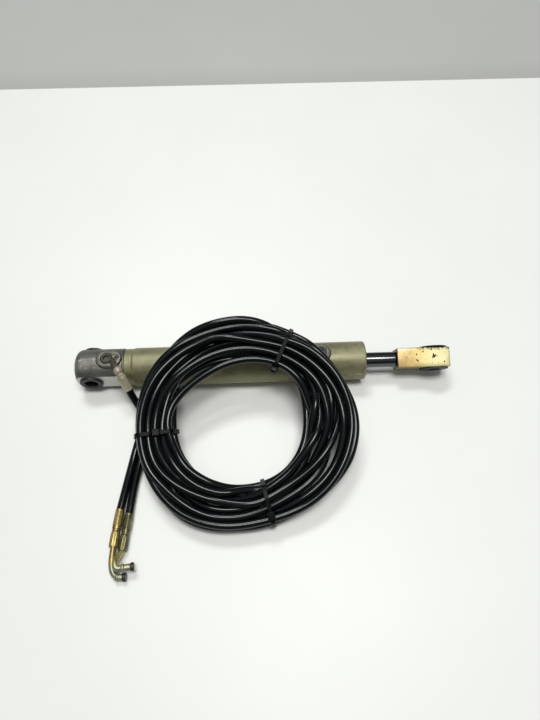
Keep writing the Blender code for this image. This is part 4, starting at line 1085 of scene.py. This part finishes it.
# ---------------------------------------------------------------- rod side
rod = lathe("piston_rod_bar", rounded([
    (0, -82.0), (2.6, -82.0, 0.2), (3.0, -81.6, 0.1), (3.0, -62.1, 0), (4.7, -62.1, 0.1), (5.0, -61.8, 0.1), (5.0, -60.6, 0), (5.0, 85.6, 0), (5.0, 86.3, 0.1), (4.6, 86.7, 0.1),
    (4.0, 86.7, 0), (4.0, 97.6, 0.1), (3.6, 98.0, 0.1), (0, 98.0)], steps=3), MAT["hard_chrome"], seg=128)
put(rod, "rod", "hard_chrome", "piston_rod")
wiper = lathe("rod_wiper_lip", rounded([
    (5.3, 61.0, 0.1), (7.3, 61.0, 0.1), (7.3, 65.5, 0.5), (6.5, 66.3, 0.3), (6.1, 66.0, 0.2), (5.7, 66.95, 0.25), (5.22, 67.0, 0.1), (5.3, 66.0, 0.1)],
    steps=5, closed=True), MAT["seal_rubber"], seg=128)
put(wiper, "barrel", "seal_rubber", "rod_wiper")

# ---------------------------------------------------------------- rod-end block
ROLL = math.radians(20.0)
RX = Matrix.Rotation(ROLL, 3, 'X')
YL = Vector((0, math.cos(ROLL), math.sin(ROLL)))
block = rounded_box("rod_end_block_body", (34.4, 13.0, 13.0), MAT["yellow_chromate"], r=0.55, seg=5)
block.data.transform(Matrix.Translation(Vector((104.2, 0, 12.5)) * MM) @ RX.to_4x4())
UP = Vector((0, -math.sin(ROLL), math.cos(ROLL)))


def dent(x, y, r, lift=0.35, q=1.0):
    """A small round pit in the block's upper face, above the point (x, y)."""
    # the pit's walls take the near-black colour: a dark pit, with painted shade in it
    p = Vector((x, y, 12.5 + 6.5 / math.cos(ROLL) + y * math.tan(ROLL))) + UP * (lift * r)
    return cutter('ball', r=r, centre=tuple(p), squash=(1.0, q, 1.0), mat=MAT["dark_pits_and_recess_shade"])


dents = [dent(110.9, -1.8, 1.05), dent(111.9, -1.3, 0.65, 0.3, 0.8), dent(110.1, -2.5, 0.55, 0.3), dent(110.6, -0.7, 0.55, 0.3, 1.3), dent(112.9, -1.9, 0.34, 0.3),
         dent(99.6, -0.5, 0.55, 0.3, 1.2), dent(103.9, 1.2, 0.50, 0.3, 1.3), dent(99.9, -4.2, 0.62, 0.3), dent(100.7, -4.7, 0.40, 0.3), dent(99.3, -3.7, 0.36, 0.3),
         dent(117.5, -5.3, 0.55, 0.3, 1.2), dent(109.3, 2.3, 0.50, 0.3), dent(109.9, 2.9, 0.34, 0.3), dent(100.3, 3.4, 0.42, 0.3, 1.2), dent(104.2, 2.4, 0.28, 0.3),
         dent(93.2, -2.0, 0.24, 0.3), dent(95.4, -5.0, 0.22, 0.3), dent(97.0, -4.6, 0.22, 0.3), dent(114.6, 2.0, 0.26, 0.3), dent(107.2, -5.9, 0.30, 0.3, 0.8),
         dent(113.6, -6.0, 0.36, 0.3, 0.7), dent(109.4, -5.9, 0.42, 0.3, 0.6), dent(96.0, 1.2, 0.22, 0.3), dent(117.9, 2.9, 0.25, 0.3), dent(105.9, -3.9, 0.2, 0.3)]
# painted shade: the rod bore and its chamfer take the near-black recess colour
cut(block, cutter('round', r=5.0, length=30.0, centre=(112.1, 0, 12.5), direction=YL, sides=72, mat=MAT["yellow_chromate"]),
    cutter('round', r=4.3, length=14.0, centre=(92.0, 0, 12.5), direction=(1, 0, 0), sides=64, mat=MAT["dark_pits_and_recess_shade"]),
    cutter('round', r=4.9, r2=4.3, length=0.9, centre=(87.3, 0, 12.5), direction=(1, 0, 0), sides=64, mat=MAT["dark_pits_and_recess_shade"]))
cut(block, *dents)
put(block, "rod", "yellow_chromate", "rod_end_block")
for nm, s in (("front", -1), ("rear", 1)):
    b = lathe("block_bush_%s_ring" % nm, rounded([
        (4.0, 1.2, 0.1), (4.7, 1.2, 0.2), (4.7, 6.62, 0), (9.2, 6.62, 0.15), (9.3, 7.35, 0.3), (6.2, 7.5, 0.15), (6.0, 7.42, 0.1), (4.0, 7.42, 0.3)],
        steps=5, closed=True), MAT["black_plastic"], origin=(112.1, 0, 12.5), direction=YL * s, seg=168,
        shape=lambda t, r, h: r - (0.28 * max(0.0, math.sin(5 * t + 0.6) * math.sin(13 * t) + 0.35 * math.sin(37 * t + 1)) if r > 8.6 else 0.0))
    put(b, "rod", "black_plastic", "block_bush_" + nm)

# ---------------------------------------------------------------- hose ends
ENDS = {
    "a": ((-87.6, -90.0, 3.8), (-89.0, -102.6, 3.8), (-89.7, -111.6, 3.8),
          [(-89.62, -111.2, 3.8), (-89.75, -114.5, 3.75), (-89.85, -118.0, 3.6), (-89.55, -121.6, 3.3), (-88.5, -124.9, 3.0), (-86.4, -126.8, 2.8), (-84.4, -127.3, 2.75), (-80.9, -127.2, 2.75)],
          5.0, "brass_chromate"),
    "b": ((-82.3, -92.4, 2.85), (-83.6, -104.6, 2.85), (-84.6, -113.6, 2.85),
          [(-84.75, -113.2, 3.0), (-85.4, -115.2, 3.9), (-86.35, -117.4, 5.6), (-86.9, -119.7, 6.8), (-86.7, -121.7, 7.15), (-85.4, -122.9, 6.9), (-82.2, -122.8, 6.3), (-76.2, -122.1, 5.7)],
          6.3, "olive_brass"),
}
for tag, (f0, f1, s1, path, bead_at, mname) in ENDS.items():
    v0, v1, v2 = Vector(f0), Vector(f1), Vector(s1)
    ln = (v1 - v0).length
    el = (v2 - v1).length

    def crimped(t, r, h, ln=ln):
        """Eight pressed flats between the rings."""
        if 1.0 < h < ln - 3.7 and r > 2.3:
            k = ((t + 0.2) % (math.pi / 4)) - math.pi / 8
            return r * (0.35 + 0.65 * math.cos(math.pi / 8) / math.cos(k))
        return r

    shell = lathe("hose_%s_crimp" % tag, [
        (2.36, -0.02), (2.46, -0.05), (2.54, 0.1), (2.56, 0.8), (2.54, 0.98), (2.60, 1.15), (2.66, 1.8), (2.70, 4.0), (2.72, ln - 5.6), (2.72, ln - 4.0), (2.66, ln - 3.75),
        (2.70, ln - 3.6), (2.70, ln - 3.2), (2.62, ln - 3.0), (2.42, ln - 2.9), (2.40, ln - 2.6), (2.55, ln - 2.45), (2.58, ln - 1.7), (2.50, ln - 1.5),
        (2.34, ln - 1.35), (2.30, ln - 0.15), (2.2, ln), (1.5, ln), (1.5, ln - 2.2), (2.3, ln - 2.4)], MAT[mname], origin=v0,
        direction=v1 - v0, seg=128, shape=crimped)

    def knurled(t, r, h, el=el):
        if 1.0 < h < el - 1.0 and r > 2.3:
            return r - 0.13 * (0.5 + 0.5 * math.cos(16 * t)) ** 1.4
        return r

    sock = lathe("hose_%s_socket" % tag, [
        (0, 0.1), (2.25, 0.1), (2.42, 0.2), (2.5, 0.4), (2.52, 0.95), (2.56, 1.1), (2.66, 1.35), (2.70, 3.0), (2.70, el - 3.0), (2.68, el - 1.4), (2.6, el - 1.05),
        (2.62, el - 0.9), (2.62, el - 0.45), (2.5, el - 0.25), (2.2, el - 0.2), (2.1, el - 0.3), (0, el - 0.3)], MAT[mname], origin=v1,
        direction=v2 - v1, seg=144, shape=knurled)

    def with_bead(run, total, at=bead_at):
        x = total - run
        body = 1.75 + 0.2 / (1.0 + math.exp((x - at) / 0.2))
        r = max(body, 2.4 - 1.2 * max(0.0, abs(x - at) - 0.45))
        return r - 0.30 * max(0.0, 0.7 - x) / 0.7 - (0.25 if 0.25 < x < 2.1 else 0.0)

    pipe = sweep("hose_%s_pipe" % tag, path, with_bead, MAT["pipe_" + tag], seg=48, bore=0.9, depth=4.0)
    q0, q1 = Vector(path[-2]), Vector(path[-1])
    u = (q1 - q0).normalized()
    ring = []
    for k in range(20):
        a = 2 * math.pi * k / 20
        ring.append((2.02 + 0.36 * math.copysign(abs(math.cos(a)) ** 0.6, math.cos(a)), 1.0 * math.copysign(abs(math.sin(a)) ** 0.6, math.sin(a))))
    oring = lathe("hose_%s_seal_ring" % tag, ring, MAT["seal_rubber"], origin=q1 - u * 1.15, direction=u, seg=56)
    put(shell, "barrel", "brass_chromate", "hose_%s_end_ferrule" % tag)
    put(sock, "barrel", "brass_chromate", "hose_%s_end_socket" % tag)
    put(pipe, "barrel", "brass_chromate", "hose_%s_end_spigot" % tag)
    put(oring, "barrel", "seal_rubber", "hose_%s_end_oring" % tag)


# ---------------------------------------------------------------- cable ties
def strands_at(angle):
    """Where the strands pass the half plane at this angle: (radius, height) in mm."""
    a = math.radians(angle)
    rad = math.cos(a) * UU + math.sin(a) * VV
    tan = np.cross(NRM, rad)
    found = []
    for pts in HOSE_PTS.values():
        n = len(pts)
        s = (pts - ORG) @ tan
        r = (pts - ORG) @ rad
        for i in range(n - 1):
            if s[i] * s[i + 1] <= 0 and r[i] > 20 and abs(s[i]) < 4:
                f = s[i] / (s[i] - s[i + 1]) if s[i] != s[i + 1] else 0.0
                p = pts[i] + (pts[i + 1] - pts[i]) * f
                h = float((p - ORG) @ NRM)
                if h > -8.6:
                    found.append((float((p - ORG) @ rad), h))
    return found, rad, tan


def tie(name, angle, head_at, skew=0.0, flip=1.0, stub_len=3.0):
    """head_at: (radius, height) near which the head sits; flip turns its strap end round."""
    found, rad, tan = strands_at(angle)
    near = [q for a in (angle - 1.3, angle + 1.3) for q in strands_at(a)[0]]
    centres = np.array(found + near)
    rows = []
    N = 240
    prev = None
    outline = []
    for k in range(N):
        t = 2 * math.pi * k / N
        d = np.array([math.cos(t), math.sin(t)])
        c = centres[int(np.argmax(centres @ d))]
        if prev is not None and np.linalg.norm(c - prev) > 0.3:
            steps = max(2, int(np.linalg.norm(c - prev) / 1.0))
            for j in range(1, steps):
                outline.append((prev + (c - prev) * j / steps, d))
        outline.append((c, d))
        prev = c
    mid = centres.mean(0)
    width, inner, thick = 2.5, 2.42, 1.05
    bm = bmesh.new()
    loops = []
    sect = [(0.0, -0.5), (0.0, 0.5), (0.82, 0.5), (1.0, 0.42), (1.0, 0.2), (0.93, 0.16), (0.93, -0.16), (1.0, -0.2), (1.0, -0.42), (0.82, -0.5)]
    for c, d in outline:
        row = []
        for e, w in sect:
            q = c + d * (inner + thick * e)
            off = w * width + skew * (q[0] - 52.0) / 26.0
            p = ORG + q[0] * rad + q[1] * NRM + tan * off
            row.append(bm.verts.new(Vector(p) * MM))
        loops.append(row)
    n = len(loops)
    k = len(sect)
    for i in range(n):
        a, b = loops[i], loops[(i + 1) % n]
        for j in range(k):
            bm.faces.new((a[j], a[(j + 1) % k], b[(j + 1) % k], b[j]))
    bmesh.ops.recalc_face_normals(bm, faces=bm.faces)
    me = bpy.data.meshes.new(name)
    bm.to_mesh(me)
    bm.free()
    band = link(name + "_band", me, MAT["tie_plastic"], 35)
    # ratchet head on the band, with the cut end of the strap standing in it
    target = np.array(head_at, float)
    c, d = min(outline, key=lambda o: float(np.linalg.norm(o[0] + o[1] * 3.4 - target)))
    q = c + d * (inner + thick + 0.85)
    along2 = np.array([-d[1], d[0]]) * flip
    A = Vector(along2[0] * rad + along2[1] * NRM)
    Dv = Vector(d[0] * rad + d[1] * NRM)
    T = Dv.cross(A)
    off = skew * (q[0] - 52.0) / 26.0
    pos = Vector(ORG + q[0] * rad + q[1] * NRM + tan * off)
    m = Matrix((A, T, Dv)).transposed().to_4x4()
    m.translation = pos * MM
    head = rounded_box(name + "_head", (4.6, 4.4, 3.2), MAT["tie_plastic"], r=0.5, seg=4)
    cut(head, cutter('box', size=(2.9, 2.9, 1.0), centre=(-0.3, 0.0, 1.6), mat=MAT["tie_plastic"]),
        cutter('box', size=(1.2, 0.5, 3.0), centre=(2.2, 1.2, 0.2), mat=MAT["tie_plastic"]),
        cutter('box', size=(1.2, 0.5, 3.0), centre=(2.2, -1.2, 0.2), mat=MAT["tie_plastic"]))
    stub = rounded_box(name + "_stub", (stub_len, 2.4, 1.1), MAT["tie_plastic"], r=0.2, seg=3)
    stub.data.transform(Matrix.Translation(Vector((1.2 + stub_len / 2, 0, 0.4)) * MM) @ Matrix.Rotation(-0.35, 4, 'Y'))
    head.data.transform(m)
    stub.data.transform(m)
    return band, head, stub


TIES = []
for nm, ang, head_at, skew, flip, stub_len in (("left", 183.9, (53.0, 7.5), 0.9, -1.0, 2.6), ("top", 62.4, (35.0, 3.0), 1.2, 1.0, 3.4),
                                               ("bottom", -75.6, (54.0, 7.0), -0.5, 1.0, 2.2)):
    band, head, stub = tie("tie_" + nm, ang, head_at, skew, flip, stub_len)
    put(band, "barrel", "black_plastic", "cable_tie_" + nm)
    put(head, "barrel", "black_plastic")
    put(stub, "barrel", "black_plastic")
    TIES += [band, head, stub]

# ---------------------------------------------------------------- the hoses, standing for the CAD hose nodes
put(hoses["a"], "barrel", "black_hose", "hose_a_lead", "hose_a_tail", "hose_coil")
put(hoses["b"], "barrel", "black_hose", "hose_b_lead", "hose_b_tail")

# ---------------------------------------------------------------- the pieces inside keep their CAD shape
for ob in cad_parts.values():
    if ob.hide_render:
        continue
    for s in ob.material_slots:
        key = s.material.name.split(".")[0]
        if key in MAT:
            s.material = MAT[key]

# ---------------------------------------------------------------- table, backdrop and light
def plane(name, x0, x1, y0, y1, z, mat):
    me = bpy.data.meshes.new(name)
    me.from_pydata([(x0, y0, z), (x1, y0, z), (x1, y1, z), (x0, y1, z)], [], [(0, 1, 2, 3)])
    me.materials.append(mat)
    ob = bpy.data.objects.new(name, me)
    scene.collection.objects.link(ob)
    return ob


n = Nodes("table_top")
c = n.ramp(n.noise(9, 4, 0.6), [(0.3, (0.790, 0.800, 0.770)), (0.7, (0.815, 0.825, 0.795))])
plane("floor", -2.5, 2.5, -2.5, 0.3055, -0.0002, n.done(c, 0.45, 0.0))
n = Nodes("back_grey")
c = n.ramp(n.noise(5, 3, 0.6), [(0.3, (0.425, 0.432, 0.412)), (0.7, (0.45, 0.457, 0.437))])
# painted shade: the backdrop darkens towards its edge by the table
c = n.mix(n.span(n.axis(1), 0.306, 0.335, 0.35, 0.0), c, (0.30, 0.30, 0.275))
plane("backdrop", -2.5, 2.5, 0.3055, 2.8, -0.0012, n.done(c, 0.7, 0.0))

# a pale ceiling over darker walls
world = bpy.data.worlds.new("world")
scene.world = world
world.use_nodes = True
wt = world.node_tree
bg = wt.nodes["Background"]
wco = wt.nodes.new("ShaderNodeTexCoord")
wsep = wt.nodes.new("ShaderNodeSeparateXYZ")
wt.links.new(wco.outputs["Generated"], wsep.inputs[0])
wramp = wt.nodes.new("ShaderNodeValToRGB")
wel = wramp.color_ramp.elements
wel[0].position, wel[0].color = 0.0, (0.085, 0.088, 0.085, 1)
wel[1].position, wel[1].color = 1.0, (0.42, 0.425, 0.42, 1)
mid = wramp.color_ramp.elements.new(0.45)
mid.color = (0.10, 0.103, 0.10, 1)
wt.links.new(wsep.outputs[2], wramp.inputs["Fac"])
wt.links.new(wramp.outputs["Color"], bg.inputs["Color"])
bg.inputs["Strength"].default_value = 1.0


def area(name, loc, aim, size, energy, colour=(1, 1, 1), size_y=None):
    li = bpy.data.lights.new(name, 'AREA')
    li.shape = 'RECTANGLE' if size_y else 'SQUARE'
    li.size = size
    if size_y:
        li.size_y = size_y
    li.energy = energy
    li.color = colour
    ob = bpy.data.objects.new(name, li)
    scene.collection.objects.link(ob)
    ob.location = loc
    ob.rotation_euler = (Vector(aim) - Vector(loc)).to_track_quat('-Z', 'Y').to_euler()
    return ob


key = area("key", (0.13, -0.10, 1.60), (0.13, -0.03, 0), 0.70, 15.4, (1.0, 0.995, 0.98), 0.40)
key.rotation_euler = (math.atan2(0.07, 1.60), 0, 0)
area("key_back", (-0.22, 0.78, 1.42), (0, -0.03, 0), 0.55, 9.6, (0.975, 0.99, 1.0), 0.28)

scene.view_settings.view_transform = 'Standard'
scene.view_settings.look = 'None'
scene.view_settings.exposure = 0.0
scene.view_settings.gamma = 1.0
